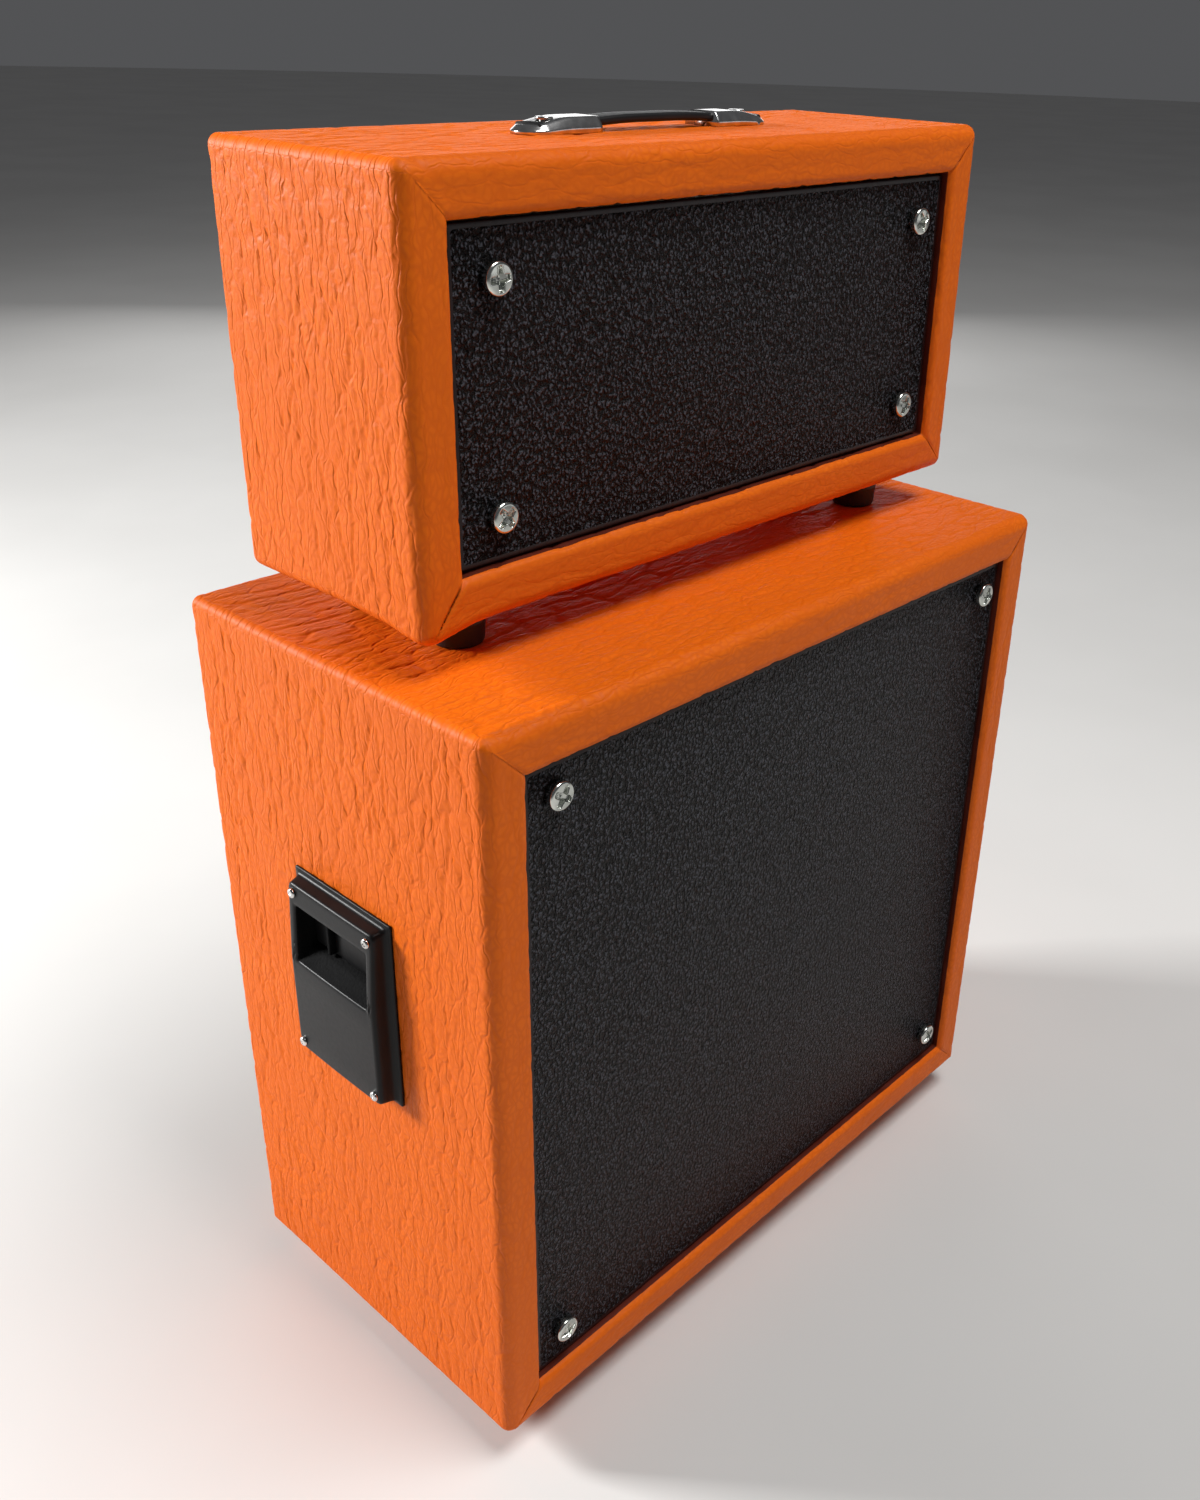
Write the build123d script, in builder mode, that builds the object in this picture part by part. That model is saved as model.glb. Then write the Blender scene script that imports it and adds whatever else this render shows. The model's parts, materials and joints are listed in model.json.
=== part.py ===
"""Desktop guitar amplifier: a small head that stands on a wider speaker cabinet.

Millimetres. +Z is up, the front faces -Y and X runs to the right as seen from the front.
The origin is on the resting surface, under the middle of the cabinet.
"""
import os
from math import cos, radians, sin, tan

from build123d import *

os.makedirs("parts", exist_ok=True)

# ---------------------------------------------------------------- driving dimensions
cab_width = 155.0
cab_depth = 80.0
cab_height = 150.0
head_width = 143.0
head_depth = 47.0
head_height = 69.5
head_setback = 20.5
foot_height = 7.5

board = 7.0
covering = 0.75
front_radius = 2.75
long_edge_radius = 1.75
inner_edge_radius = 0.9
panel_recess = 2.0
panel_thickness = 2.0
panel_gap = 0.4

fit = 0.05
slack = 0.25

# ---------------------------------------------------------------- places that follow
rim = board + 2 * covering
shell = board + covering
turned_in = panel_recess + panel_thickness

cab_front = -cab_depth / 2
cab_rear = cab_depth / 2
cab_base = foot_height
cab_top = cab_base + cab_height
cab_middle = cab_base + cab_height / 2
head_front = cab_front + head_setback
head_rear = head_front + head_depth
head_base = cab_top + foot_height
head_top = head_base + head_height
head_centre_y = (head_front + head_rear) / 2

cab_inner_x = cab_width / 2 - shell
cab_floor = cab_base + shell
cab_ceiling = cab_top - shell
head_inner_x = head_width / 2 - shell
head_floor = head_base + shell
head_ceiling = head_top - shell

FRONT = (0, -1, 0)
REAR = (0, 1, 0)
UP = (0, 0, 1)
DOWN = (0, 0, -1)
LEFT = (-1, 0, 0)
RIGHT = (1, 0, 0)


# ---------------------------------------------------------------- shared helpers
def save(piece, name):
    """Label a finished sub-part and write its STEP file."""
    piece.part.label = name
    export_step(piece.part, f"parts/{name}.step")


def facing(direction, origin):
    """A plane at origin that looks along direction, with its own X level."""
    across = (0, 1, 0) if direction in (LEFT, RIGHT) else (1, 0, 0)
    return Plane(origin=origin, x_dir=across, z_dir=direction)


def span_box(low, high, mode=Mode.ADD):
    """A box between two opposite corners, in the part being built."""
    centre = tuple((a + b) / 2 for a, b in zip(low, high))
    with Locations(centre):
        Box(*(b - a for a, b in zip(low, high)), mode=mode)


def rod(direction, origin, radius, length, mode=Mode.ADD):
    """A cylinder from origin along direction, in the part being built."""
    with Locations(facing(direction, origin)):
        Cylinder(radius, length, align=(Align.CENTER, Align.CENTER, Align.MIN), mode=mode)


def corners(half_width, half_height):
    """Four points round a centre."""
    return [(sx * half_width, sy * half_height) for sx in (-1, 1) for sy in (-1, 1)]


# ---------------------------------------------------------------- screws
pan_head_radius = 2.55
pan_head_height = 1.9
pan_shank_radius = 1.25
small_head_radius = 0.95
small_head_height = 0.7
small_shank_radius = 0.5


def make_pan_screw(head_radius, head_height, shank_radius, shank_length):
    """A cross-slot pan-head screw: shank along -Z, underside of the head at Z = 0."""
    with BuildPart() as screw:
        Cylinder(head_radius, head_height, align=(Align.CENTER, Align.CENTER, Align.MIN))
        fillet(screw.edges().sort_by(Axis.Z)[-1], head_height * 0.55)
        with BuildSketch(Plane.XY.offset(head_height)):
            Rectangle(head_radius * 1.15, head_radius * 0.3)
            Rectangle(head_radius * 0.3, head_radius * 1.15)
        extrude(amount=-head_height * 0.6, mode=Mode.SUBTRACT)
        Cylinder(shank_radius, shank_length, align=(Align.CENTER, Align.CENTER, Align.MAX))
    return screw.part


panel_screw = make_pan_screw(pan_head_radius, pan_head_height, pan_shank_radius, 7.0)
short_screw = make_pan_screw(2.0, 1.4, 1.0, 4.0)
tiny_screw = make_pan_screw(small_head_radius, small_head_height, small_shank_radius, 3.5)


# ---------------------------------------------------------------- boxes and their covering
def rounded_block(width, depth, height, front, base, face_radius, side_radius):
    """A block with rounded front edges and its own radius on the edges that run rearward."""
    with BuildPart() as soft_front:
        span_box((-width / 2, front, base), (width / 2, front + depth, base + height))
        fillet(soft_front.faces().sort_by(Axis.Y)[0].edges(), face_radius)
    with BuildPart() as block:
        with BuildSketch(Plane.XZ.offset(-front)):
            with Locations((0, base + height / 2)):
                RectangleRounded(width, height, side_radius)
        extrude(amount=-depth)
        add(soft_front.part, mode=Mode.INTERSECT)
    return block.part


def make_carcass(width, depth, height, front, base):
    """The four glued boards as one rounded tube, before it is cut into boards."""
    inner_x = width / 2 - shell
    with BuildPart() as tube:
        add(
            rounded_block(
                width - 2 * covering,
                depth - 2 * covering,
                height - 2 * covering,
                front + covering,
                base + covering,
                front_radius - covering + slack,
                long_edge_radius - covering + slack,
            )
        )
        span_box(
            (-inner_x, front, base + shell),
            (inner_x, front + depth, base + height - shell),
            mode=Mode.SUBTRACT,
        )
    return tube.part


def make_covering(tube, width, depth, height, front, base):
    """The wrapped skin: outside, front edges turned in to the panel, rear edges."""
    with BuildPart() as skin:
        add(rounded_block(width, depth, height, front, base, front_radius, long_edge_radius))
        span_box(
            (-width / 2 + rim, front, base + rim),
            (width / 2 - rim, front + depth, base + height - rim),
            mode=Mode.SUBTRACT,
        )
        mouth = skin.faces().sort_by(Axis.Y)[0].inner_wires()[0]
        fillet(mouth.edges(), inner_edge_radius)
        span_box(
            (-width / 2 + shell, front + turned_in, base + shell),
            (width / 2 - shell, front + depth, base + height - shell),
            mode=Mode.SUBTRACT,
        )
        add(tube, mode=Mode.SUBTRACT)
    return skin.part


def save_boards(prefix, tube, holes, width, depth, height, front, base):
    """Cut the tube into a top, a bottom and a pair of side boards, with their screw holes."""
    low = (-width, front, base)
    high = (width, front + depth, base + height)
    inner_x = width / 2 - shell
    level = {"top_board": high[2] - shell, "bottom_board": base}
    for name, start in level.items():
        with BuildPart() as plank:
            add(tube)
            span_box((low[0], low[1], start), (high[0], high[1], start + shell), mode=Mode.INTERSECT)
            add(holes, mode=Mode.SUBTRACT)
        save(plank, f"{prefix}_{name}")
    with BuildPart() as sides:
        add(tube)
        span_box((low[0], low[1], base + shell), (high[0], high[1], high[2] - shell), mode=Mode.INTERSECT)
        span_box((-inner_x, low[1], low[2]), (inner_x, high[1], high[2]), mode=Mode.SUBTRACT)
        add(holes, mode=Mode.SUBTRACT)
    save(sides, f"{prefix}_side_boards")


# ---------------------------------------------------------------- feet
foot_top_radius = 5.0
foot_bottom_radius = 4.4
foot_screw_seat = 3.0
foot_inset_x = 16.0
head_foot_inset_y = 12.0
cab_foot_inset_y = 14.0


def make_foot():
    """A tapered rubber foot with a sunk screw seat, its top at Z = 0."""
    with BuildPart() as foot:
        with BuildSketch(Plane.XZ):
            with BuildLine():
                Polyline(
                    (pan_shank_radius + fit, 0),
                    (foot_top_radius, 0),
                    (foot_top_radius, -0.8),
                    (foot_bottom_radius, -foot_height),
                    (2.6, -foot_height),
                    (2.6, -foot_height + foot_screw_seat),
                    (pan_shank_radius + fit, -foot_height + foot_screw_seat),
                    close=True,
                )
            make_face()
        revolve(axis=Axis.Z)
        rim_edge = foot.edges().group_by(Axis.Z)[0].sort_by(SortBy.RADIUS)[-1]
        fillet(rim_edge, 0.5)
    return foot.part


def foot_places(width, depth, front, inset_y, height):
    """Where the four feet of a box meet its underside."""
    half_x = width / 2 - foot_inset_x
    half_y = depth / 2 - inset_y
    middle_y = front + depth / 2
    return [(x, middle_y + y, height) for x, y in corners(half_x, half_y)]


def save_feet(prefix, places):
    """The four feet of one box, and the four screws that hold them."""
    with BuildPart() as feet:
        with Locations(*places):
            add(rubber_foot)
    save(feet, f"{prefix}_feet")
    with BuildPart() as screws:
        with Locations(*(facing(DOWN, (x, y, z - foot_height + foot_screw_seat)) for x, y, z in places)):
            add(foot_screw)
    save(screws, f"{prefix}_foot_screws")


rubber_foot = make_foot()
foot_screw = make_pan_screw(2.3, 1.6, pan_shank_radius, 9.0)
cab_feet_at = foot_places(cab_width, cab_depth, cab_front, cab_foot_inset_y, cab_base)
head_feet_at = foot_places(head_width, head_depth, head_front, head_foot_inset_y, head_base)

save_feet("cab", cab_feet_at)
save_feet("head", head_feet_at)


# ---------------------------------------------------------------- side cup handles: sizes
cup_width = 29.6
cup_height = 39.2
cup_middle = cab_base + 86.2
cup_flange = 0.6
cup_stand = 4.2
cup_wall = 1.0
cup_face_width = 26.6
cup_face_height = 37.0
pocket_width = 20.6
pocket_height = 11.5
pocket_middle = cab_base + 94.3
pocket_depth = 5.5
cup_screw_x = 10.9
cup_screw_z = 16.4
cup_hole_margin = 0.5

# ---------------------------------------------------------------- front panels: screw places
cab_screw_half_x = cab_width / 2 - 15.5
cab_screw_low = cab_base + 16.8
cab_screw_high = cab_top - 14.6
head_screw_half_x = head_width / 2 - 17.3
head_screw_low = head_base + 16.4
head_screw_high = head_top - 17.0


def panel_screw_places(half_x, low, high, face_y):
    """The four corner screws of a front panel, at its front face."""
    return [facing(FRONT, (x, face_y, z)) for x in (-half_x, half_x) for z in (low, high)]


cab_panel_face = cab_front + panel_recess
head_panel_face = head_front + panel_recess
cab_panel_back = cab_panel_face + panel_thickness
head_panel_back = head_panel_face + panel_thickness
cab_panel_screws_at = panel_screw_places(cab_screw_half_x, cab_screw_low, cab_screw_high, cab_panel_face)
head_panel_screws_at = panel_screw_places(
    head_screw_half_x, head_screw_low, head_screw_high, head_panel_face
)

# ---------------------------------------------------------------- strap handle: sizes
handle_length = 60.0
handle_width = 8.0
handle_height = 2.5
cap_length = 15.5
cap_metal = 0.6
strap_width = 6.0
strap_thickness = 1.35
strap_end_height = 0.4
strap_rise = 0.9
handle_screw_x = handle_length / 2 - 6.0
handle_screw_shank = 0.9
handle_screw_seat = 0.4


# ---------------------------------------------------------------- cabinet carcass
cab_tube = make_carcass(cab_width, cab_depth, cab_height, cab_front, cab_base)

with BuildPart() as cab_holes:
    with Locations(*(facing(UP, place) for place in cab_feet_at)):
        Cylinder(pan_shank_radius + fit, 2 * (9.0 - foot_screw_seat) + 3.0)
    for side in (-1, 1):
        with Locations((side * (cab_width / 2 - shell / 2), 0, pocket_middle)):
            Box(
                2 * shell,
                pocket_width + 2 * (cup_wall + cup_hole_margin),
                pocket_height + 2 * (cup_wall + cup_hole_margin),
            )
        for y, z in corners(cup_screw_x, cup_screw_z):
            rod(RIGHT, (side * cab_width / 2 - 4, y, cup_middle + z), small_shank_radius + fit, 8)

save_boards("cab", cab_tube, cab_holes.part, cab_width, cab_depth, cab_height, cab_front, cab_base)

with BuildPart() as cab_covering:
    add(make_covering(cab_tube, cab_width, cab_depth, cab_height, cab_front, cab_base))
    add(cab_holes.part, mode=Mode.SUBTRACT)
save(cab_covering, "cab_covering")

# ---------------------------------------------------------------- cabinet baffle and front panel
baffle_thickness = 6.0
baffle_back = cab_panel_back + baffle_thickness
batten = 8.0
speaker_hole_radius = 46.0
speaker_radius = 51.0
speaker_screw_radius = 48.6
speaker_screws_at = [
    (speaker_screw_radius * cos(radians(a)), cab_middle + speaker_screw_radius * sin(radians(a)))
    for a in (45, 135, 225, 315)
]

with BuildPart() as cab_baffle:
    span_box(
        (-cab_inner_x + slack, cab_panel_back, cab_floor + slack),
        (cab_inner_x - slack, baffle_back, cab_ceiling - slack),
    )
    rod(REAR, (0, cab_panel_back, cab_middle), speaker_hole_radius, baffle_thickness, Mode.SUBTRACT)
    with Locations(*cab_panel_screws_at):
        Cylinder(pan_shank_radius + fit, 20, mode=Mode.SUBTRACT)
    for x, z in speaker_screws_at:
        rod(FRONT, (x, baffle_back, z), 1.0 + fit, 4, Mode.SUBTRACT)
save(cab_baffle, "cab_baffle")


def make_front_panel(width, height, middle_z, face_y, screws_at):
    """A flat textured panel with four screw holes and softened edges."""
    with BuildPart() as panel:
        with Locations((0, face_y + panel_thickness / 2, middle_z)):
            Box(width - 2 * (rim + panel_gap), panel_thickness, height - 2 * (rim + panel_gap))
        chamfer(panel.faces().sort_by(Axis.Y)[0].edges(), 0.3)
        with Locations(*screws_at):
            Cylinder(pan_shank_radius + 2 * fit, 20, mode=Mode.SUBTRACT)
    return panel


def make_screw_group(screw, places):
    """One screw repeated at every place."""
    with BuildPart() as group:
        with Locations(*places):
            add(screw)
    return group


cab_front_panel = make_front_panel(cab_width, cab_height, cab_middle, cab_panel_face, cab_panel_screws_at)
save(cab_front_panel, "cab_front_panel")
save(make_screw_group(panel_screw, cab_panel_screws_at), "cab_front_screws")

# ---------------------------------------------------------------- speaker
# Its axis runs front to rear through the middle of the baffle. Depths are Y places.
speaker_axis = Axis((0, 0, cab_middle), (0, 1, 0))
speaker_plane = Plane.XY.offset(cab_middle)
gasket_back = baffle_back + 1.0
flange_back = gasket_back + 1.0
basket_back = flange_back + 24.0
top_plate_back = basket_back + 4.0
magnet_back = top_plate_back + 10.0
yoke_back = magnet_back + 4.0
pole_radius = 9.2
coil_inner_radius = 9.6
coil_outer_radius = 10.3
gap_radius = 10.7
cone_edge_radius = 41.7
cone_front = gasket_back - 0.2
cone_back = basket_back - 8.0


def turned(points):
    """Revolve an outline of (radius, Y) points about the speaker's axis."""
    with BuildPart() as body:
        with BuildSketch(speaker_plane):
            with BuildLine():
                Polyline(*points, close=True)
            make_face()
        revolve(axis=speaker_axis)
    return body


speaker_gasket = turned(
    [
        (speaker_hole_radius, baffle_back),
        (speaker_radius, baffle_back),
        (speaker_radius, gasket_back),
        (speaker_hole_radius, gasket_back),
    ]
)
with BuildPart() as drilled_gasket:
    add(speaker_gasket.part)
    for x, z in speaker_screws_at:
        rod(REAR, (x, baffle_back, z), 1.0 + fit, 1.0, Mode.SUBTRACT)
save(drilled_gasket, "speaker_gasket")

basket_shell = turned(
    [
        (45.2, gasket_back),
        (speaker_radius, gasket_back),
        (speaker_radius, flange_back),
        (46.0, flange_back),
        (29.5, basket_back),
        (29.5, basket_back + 1.0),
        (12.0, basket_back + 1.0),
        (12.0, basket_back),
        (28.4, basket_back),
        (45.2, flange_back - 0.4),
    ]
)
basket_window_depth = 15.0
basket_window_middle = (flange_back + basket_back) / 2 - 0.5

with BuildPart() as speaker_basket:
    add(basket_shell.part)
    for angle in (45, 135, 225, 315):
        outward = (cos(radians(angle)), 0, sin(radians(angle)))
        with BuildSketch(Plane(origin=(0, 0, cab_middle), x_dir=REAR, z_dir=outward)):
            with Locations((basket_window_middle, 0)):
                RectangleRounded(basket_window_depth, 40, 4)
        extrude(amount=60, mode=Mode.SUBTRACT)
    for x, z in speaker_screws_at:
        rod(REAR, (x, gasket_back, z), 1.0 + fit, 1.0, Mode.SUBTRACT)
save(speaker_basket, "speaker_basket")

speaker_top_plate = turned(
    [
        (gap_radius, basket_back + 1.0),
        (28.0, basket_back + 1.0),
        (28.0, top_plate_back),
        (gap_radius, top_plate_back),
    ]
)
save(speaker_top_plate, "speaker_top_plate")

speaker_magnet = turned(
    [(14.0, top_plate_back), (30.0, top_plate_back), (30.0, magnet_back), (14.0, magnet_back)]
)
save(speaker_magnet, "speaker_magnet")

speaker_yoke = turned(
    [
        (2.5, basket_back - 2.0),
        (pole_radius, basket_back - 2.0),
        (pole_radius, magnet_back),
        (28.5, magnet_back),
        (28.5, yoke_back - 1.0),
        (27.5, yoke_back),
        (2.5, yoke_back),
    ]
)
save(speaker_yoke, "speaker_yoke")

cone_wall = 0.6
with BuildPart() as speaker_cone:
    with BuildSketch(speaker_plane):
        with BuildLine():
            outer = ThreePointArc(
                (coil_outer_radius, cone_back), (27.5, cone_back - 10.6), (cone_edge_radius, cone_front)
            )
            Line(outer @ 1, (cone_edge_radius, cone_front - cone_wall))
            inner = ThreePointArc(
                (cone_edge_radius, cone_front - cone_wall),
                (27.5, cone_back - 10.6 - cone_wall),
                (coil_outer_radius, cone_back - cone_wall),
            )
            Line(inner @ 1, outer @ 0)
        make_face()
    revolve(axis=speaker_axis)
save(speaker_cone, "speaker_cone")

voice_coil = turned(
    [
        (coil_inner_radius, cone_back - cone_wall),
        (coil_outer_radius, cone_back - cone_wall),
        (coil_outer_radius, top_plate_back + 1.0),
        (coil_inner_radius, top_plate_back + 1.0),
    ]
)
save(voice_coil, "voice_coil")

dust_cap_radius = 13.0
dust_cap_wall = 0.6
dome_radius = 21.8
dome_centre = cone_back - 8.5 + dome_radius


def dome_point(radius, reach):
    """A point at reach from the axis on a sphere about the dust cap's centre."""
    return (reach, dome_centre - (radius**2 - reach**2) ** 0.5)


with BuildPart() as speaker_dust_cap:
    with BuildSketch(speaker_plane):
        with BuildLine():
            dome_inside = dome_radius - dust_cap_wall
            front_arc = ThreePointArc(*(dome_point(dome_radius, r) for r in (0, 7, dust_cap_radius)))
            rear_arc = ThreePointArc(*(dome_point(dome_inside, r) for r in (dust_cap_radius, 7, 0)))
            Line(front_arc @ 1, rear_arc @ 0)
            Line(rear_arc @ 1, front_arc @ 0)
        make_face()
    revolve(axis=speaker_axis)
save(speaker_dust_cap, "speaker_dust_cap")

surround_inner_radius = cone_edge_radius + 0.3
surround_outer_radius = 45.1
surround_middle_radius = (surround_inner_radius + surround_outer_radius) / 2
surround_wall = 0.4
with BuildPart() as speaker_surround:
    with BuildSketch(speaker_plane):
        with BuildLine():
            ThreePointArc(
                (surround_inner_radius, gasket_back),
                (surround_middle_radius, gasket_back - 1.6),
                (surround_outer_radius, gasket_back),
            )
            Line((surround_outer_radius, gasket_back), (surround_outer_radius - surround_wall, gasket_back))
            ThreePointArc(
                (surround_outer_radius - surround_wall, gasket_back),
                (surround_middle_radius, gasket_back - 1.6 + surround_wall),
                (surround_inner_radius + surround_wall, gasket_back),
            )
            Line((surround_inner_radius + surround_wall, gasket_back), (surround_inner_radius, gasket_back))
        make_face()
    revolve(axis=speaker_axis)
save(speaker_surround, "speaker_surround")

spider_place = basket_back - 3.0
spider_wave = 0.7
spider_wall = 0.35
spider_radii = [coil_outer_radius + 0.3 + 2.3 * step for step in range(8)]
spider_front = [(r, spider_place + spider_wave * (i % 2)) for i, r in enumerate(spider_radii)]
spider_rear = [(r, y + spider_wall) for r, y in reversed(spider_front)]
speaker_spider = turned(spider_front + spider_rear)
save(speaker_spider, "speaker_spider")

# ---------------------------------------------------------------- open back of the cabinet
back_thickness = 3.0
back_recess = 5.0
back_face = cab_rear - back_recess
back_inside = back_face - back_thickness
back_opening = 46.0
back_screw_x = cab_inner_x - batten / 2
upper_back_low = cab_middle + back_opening / 2
lower_back_high = cab_middle - back_opening / 2
upper_screws_z = (upper_back_low + 7, cab_ceiling - 7)
lower_screws_z = (cab_floor + 7, lower_back_high - 7)

# Glued battens: a frame behind the baffle, and two uprights for the back boards.
with BuildPart() as cab_battens:
    for x in (-back_screw_x, back_screw_x):
        for start in (baffle_back, back_inside - batten):
            with Locations((x, start + batten / 2, cab_middle)):
                Box(batten, batten, cab_ceiling - cab_floor)
        for z in upper_screws_z + lower_screws_z:
            rod(FRONT, (x, back_inside, z), 1.0 + fit, 2, Mode.SUBTRACT)
    for z in (cab_floor + batten / 2, cab_ceiling - batten / 2):
        with Locations((0, baffle_back + batten / 2, z)):
            Box(2 * (cab_inner_x - batten) - 1, batten, batten)
save(cab_battens, "cab_battens")

jack_radius = 3.25
jack_bush_radius = 4.7
jack_place_x = 0.0
jack_place_z = cab_floor + 20.0


def make_back_panel(low, high, screws_z):
    """One of the two back boards, drilled for its four screws."""
    with BuildPart() as panel:
        span_box((-cab_inner_x + slack, back_inside, low), (cab_inner_x - slack, back_face, high))
        chamfer(panel.faces().sort_by(Axis.Y)[-1].edges(), 0.4)
        for x in (-back_screw_x, back_screw_x):
            for z in screws_z:
                rod(FRONT, (x, back_face, z), 1.0 + fit, back_thickness, Mode.SUBTRACT)
    return panel


save(make_back_panel(upper_back_low, cab_ceiling - slack, upper_screws_z), "cab_upper_back")

back_screws_at = [
    facing(REAR, (x, back_face, z))
    for x in (-back_screw_x, back_screw_x)
    for z in upper_screws_z + lower_screws_z
]
jack_plate_half = (17.0, 11.0)
jack_plate_thickness = 1.0
jack_plate_screws = [(jack_place_x + x, jack_place_z + z) for x, z in corners(14.0, 8.0)]
plate_face = back_face + jack_plate_thickness

with BuildPart() as cab_jack_plate:
    with BuildSketch(Plane.XZ.offset(-back_face)):
        with Locations((jack_place_x, jack_place_z)):
            RectangleRounded(2 * jack_plate_half[0], 2 * jack_plate_half[1], 2.0)
    extrude(amount=-jack_plate_thickness)
    rod(FRONT, (jack_place_x, plate_face, jack_place_z), jack_bush_radius + fit, 2, Mode.SUBTRACT)
    for x, z in jack_plate_screws:
        rod(FRONT, (x, plate_face, z), small_shank_radius + fit, 2, Mode.SUBTRACT)
save(cab_jack_plate, "cab_jack_plate")

with BuildPart() as cab_lower_back:
    add(make_back_panel(cab_floor + slack, lower_back_high, lower_screws_z).part)
    rod(FRONT, (jack_place_x, back_face, jack_place_z), 9.6, back_thickness, Mode.SUBTRACT)
    for x, z in jack_plate_screws:
        rod(FRONT, (x, back_face, z), small_shank_radius + fit, back_thickness, Mode.SUBTRACT)
save(cab_lower_back, "cab_lower_back")

with BuildPart() as cab_rear_screws:
    with Locations(*back_screws_at, *(facing(REAR, (x, flange_back, z)) for x, z in speaker_screws_at)):
        add(short_screw)
    with Locations(*(facing(REAR, (x, plate_face, z)) for x, z in jack_plate_screws)):
        add(tiny_screw)
save(cab_rear_screws, "cab_rear_screws")

# A 6.35 mm socket: a bored body behind the panel, a bush through it and a nut outside.
jack_depth = 28.0
jack_bush_stand = 2.8
jack_body_half = 6.6
nut_across_corners = 6.9
nut_thickness = 1.8


def make_nut(x, z, panel_face, bush_radius, corner_radius, thickness):
    """A hexagonal panel nut round a bush."""
    with BuildPart() as nut:
        with BuildSketch(Plane.XZ.offset(-panel_face)):
            with Locations((x, z)):
                RegularPolygon(corner_radius, 6)
                Circle(bush_radius + fit, mode=Mode.SUBTRACT)
        extrude(amount=-thickness)
    return nut


def make_jack(x, z, panel_face, panel_back):
    """A guitar-plug socket with its mouth at the rear, and its nut on the panel's face."""
    mouth = panel_face + jack_bush_stand
    with BuildPart() as jack:
        span_box(
            (x - jack_body_half, mouth - jack_depth, z - jack_body_half),
            (x + jack_body_half, panel_back, z + jack_body_half),
        )
        chamfer(jack.edges().filter_by(Axis.Y), 1.0)
        rod(REAR, (x, panel_back, z), jack_bush_radius, mouth - panel_back)
        rod(FRONT, (x, mouth, z), jack_radius, jack_depth - 1.5, Mode.SUBTRACT)
        chamfer(jack.faces().sort_by(Axis.Y)[-1].edges(), 0.3)
        add(make_nut(x, z, panel_face, jack_bush_radius, nut_across_corners, nut_thickness).part)
    return jack


save(make_jack(jack_place_x, jack_place_z, plate_face, back_face), "cab_speaker_jack")
# The speaker's terminal strip, and two short wires from its tags to the socket.
terminal_place = (0, basket_back - 6.5, cab_middle - 36.7)
tag_reach = 4.0
wire_radius = 0.6
wire_start = (4.5, terminal_place[1] + 4.5 + tag_reach, terminal_place[2])
wire_end_y = plate_face + jack_bush_stand - jack_depth


def bend_radii(points):
    """The largest arc that fits at each corner of a route of straight runs."""
    radii = []
    for before, corner, after in zip(points, points[1:], points[2:]):
        run_in = Vector(*corner) - Vector(*before)
        run_out = Vector(*after) - Vector(*corner)
        half_turn = radians(run_in.get_angle(run_out) / 2)
        radii.append(0.45 * min(run_in.length, run_out.length) / tan(half_turn))
    return radii


with BuildPart() as speaker_lead:
    with Locations(terminal_place):
        Box(14, 5, 1.6)
    for side in (-1, 1):
        x = side * wire_start[0]
        with Locations((x, terminal_place[1] + 4.5, terminal_place[2])):
            Box(2.8, 2 * tag_reach, 0.6)
        route = [
            (x, wire_start[1], wire_start[2]),
            (x, wire_start[1] + 4.0, wire_start[2]),
            (x * 1.1, wire_start[1] + 7.4, wire_start[2] - 2.6),
            (x * 0.95, wire_start[1] + 8.6, wire_start[2] - 6.8),
            (x * 0.8, wire_end_y - 3.8, jack_place_z),
            (x * 0.8, wire_end_y, jack_place_z),
        ]
        with BuildLine() as path:
            FilletPolyline(*route, radius=bend_radii(route))
        with BuildSketch(Plane(origin=path.line @ 0, z_dir=path.line % 0)):
            Circle(wire_radius)
        sweep(path=path.line)
save(speaker_lead, "speaker_lead")

# ---------------------------------------------------------------- side cup handles


def make_cup(side):
    """A moulded cup handle on one side wall: flange, raised hollow body and finger pocket."""
    wall_x = side * cab_width / 2
    outward = (side, 0, 0)
    at_wall = Plane(origin=(wall_x, 0, cup_middle), x_dir=(0, 1, 0), z_dir=outward)
    face = at_wall.offset(cup_stand)
    pocket_shift = (pocket_middle - cup_middle) * side
    with BuildPart() as cup:
        with BuildSketch(at_wall):
            RectangleRounded(cup_width, cup_height, 0.6)
        extrude(amount=cup_flange)
        with BuildSketch(at_wall.offset(cup_flange)):
            RectangleRounded(cup_face_width + 1.0, cup_face_height + 0.6, 0.8)
        with BuildSketch(face):
            RectangleRounded(cup_face_width, cup_face_height, 0.8)
        loft()
        fillet(cup.faces().sort_by(Axis.X)[-1 if side > 0 else 0].outer_wire().edges(), 0.35)
        with BuildSketch(at_wall):
            RectangleRounded(cup_face_width - 2 * cup_wall, cup_face_height - 2 * cup_wall, 0.4)
        extrude(amount=cup_stand - cup_wall, mode=Mode.SUBTRACT)
        with BuildSketch(face):
            with Locations((0, pocket_shift)):
                RectangleRounded(pocket_width + 2 * cup_wall, pocket_height + 2 * cup_wall, 0.8)
        extrude(amount=-(pocket_depth + cup_wall))
        with BuildSketch(face):
            with Locations((0, pocket_shift)):
                RectangleRounded(pocket_width, pocket_height, 0.5)
        extrude(amount=-pocket_depth, mode=Mode.SUBTRACT)
        for y, z in corners(cup_screw_x, cup_screw_z):
            rod(outward, (wall_x, y, cup_middle + z), 1.3, cup_stand - cup_wall)
            rod(outward, (wall_x, y, cup_middle + z), small_shank_radius + fit, 9, Mode.SUBTRACT)
    return cup


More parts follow.
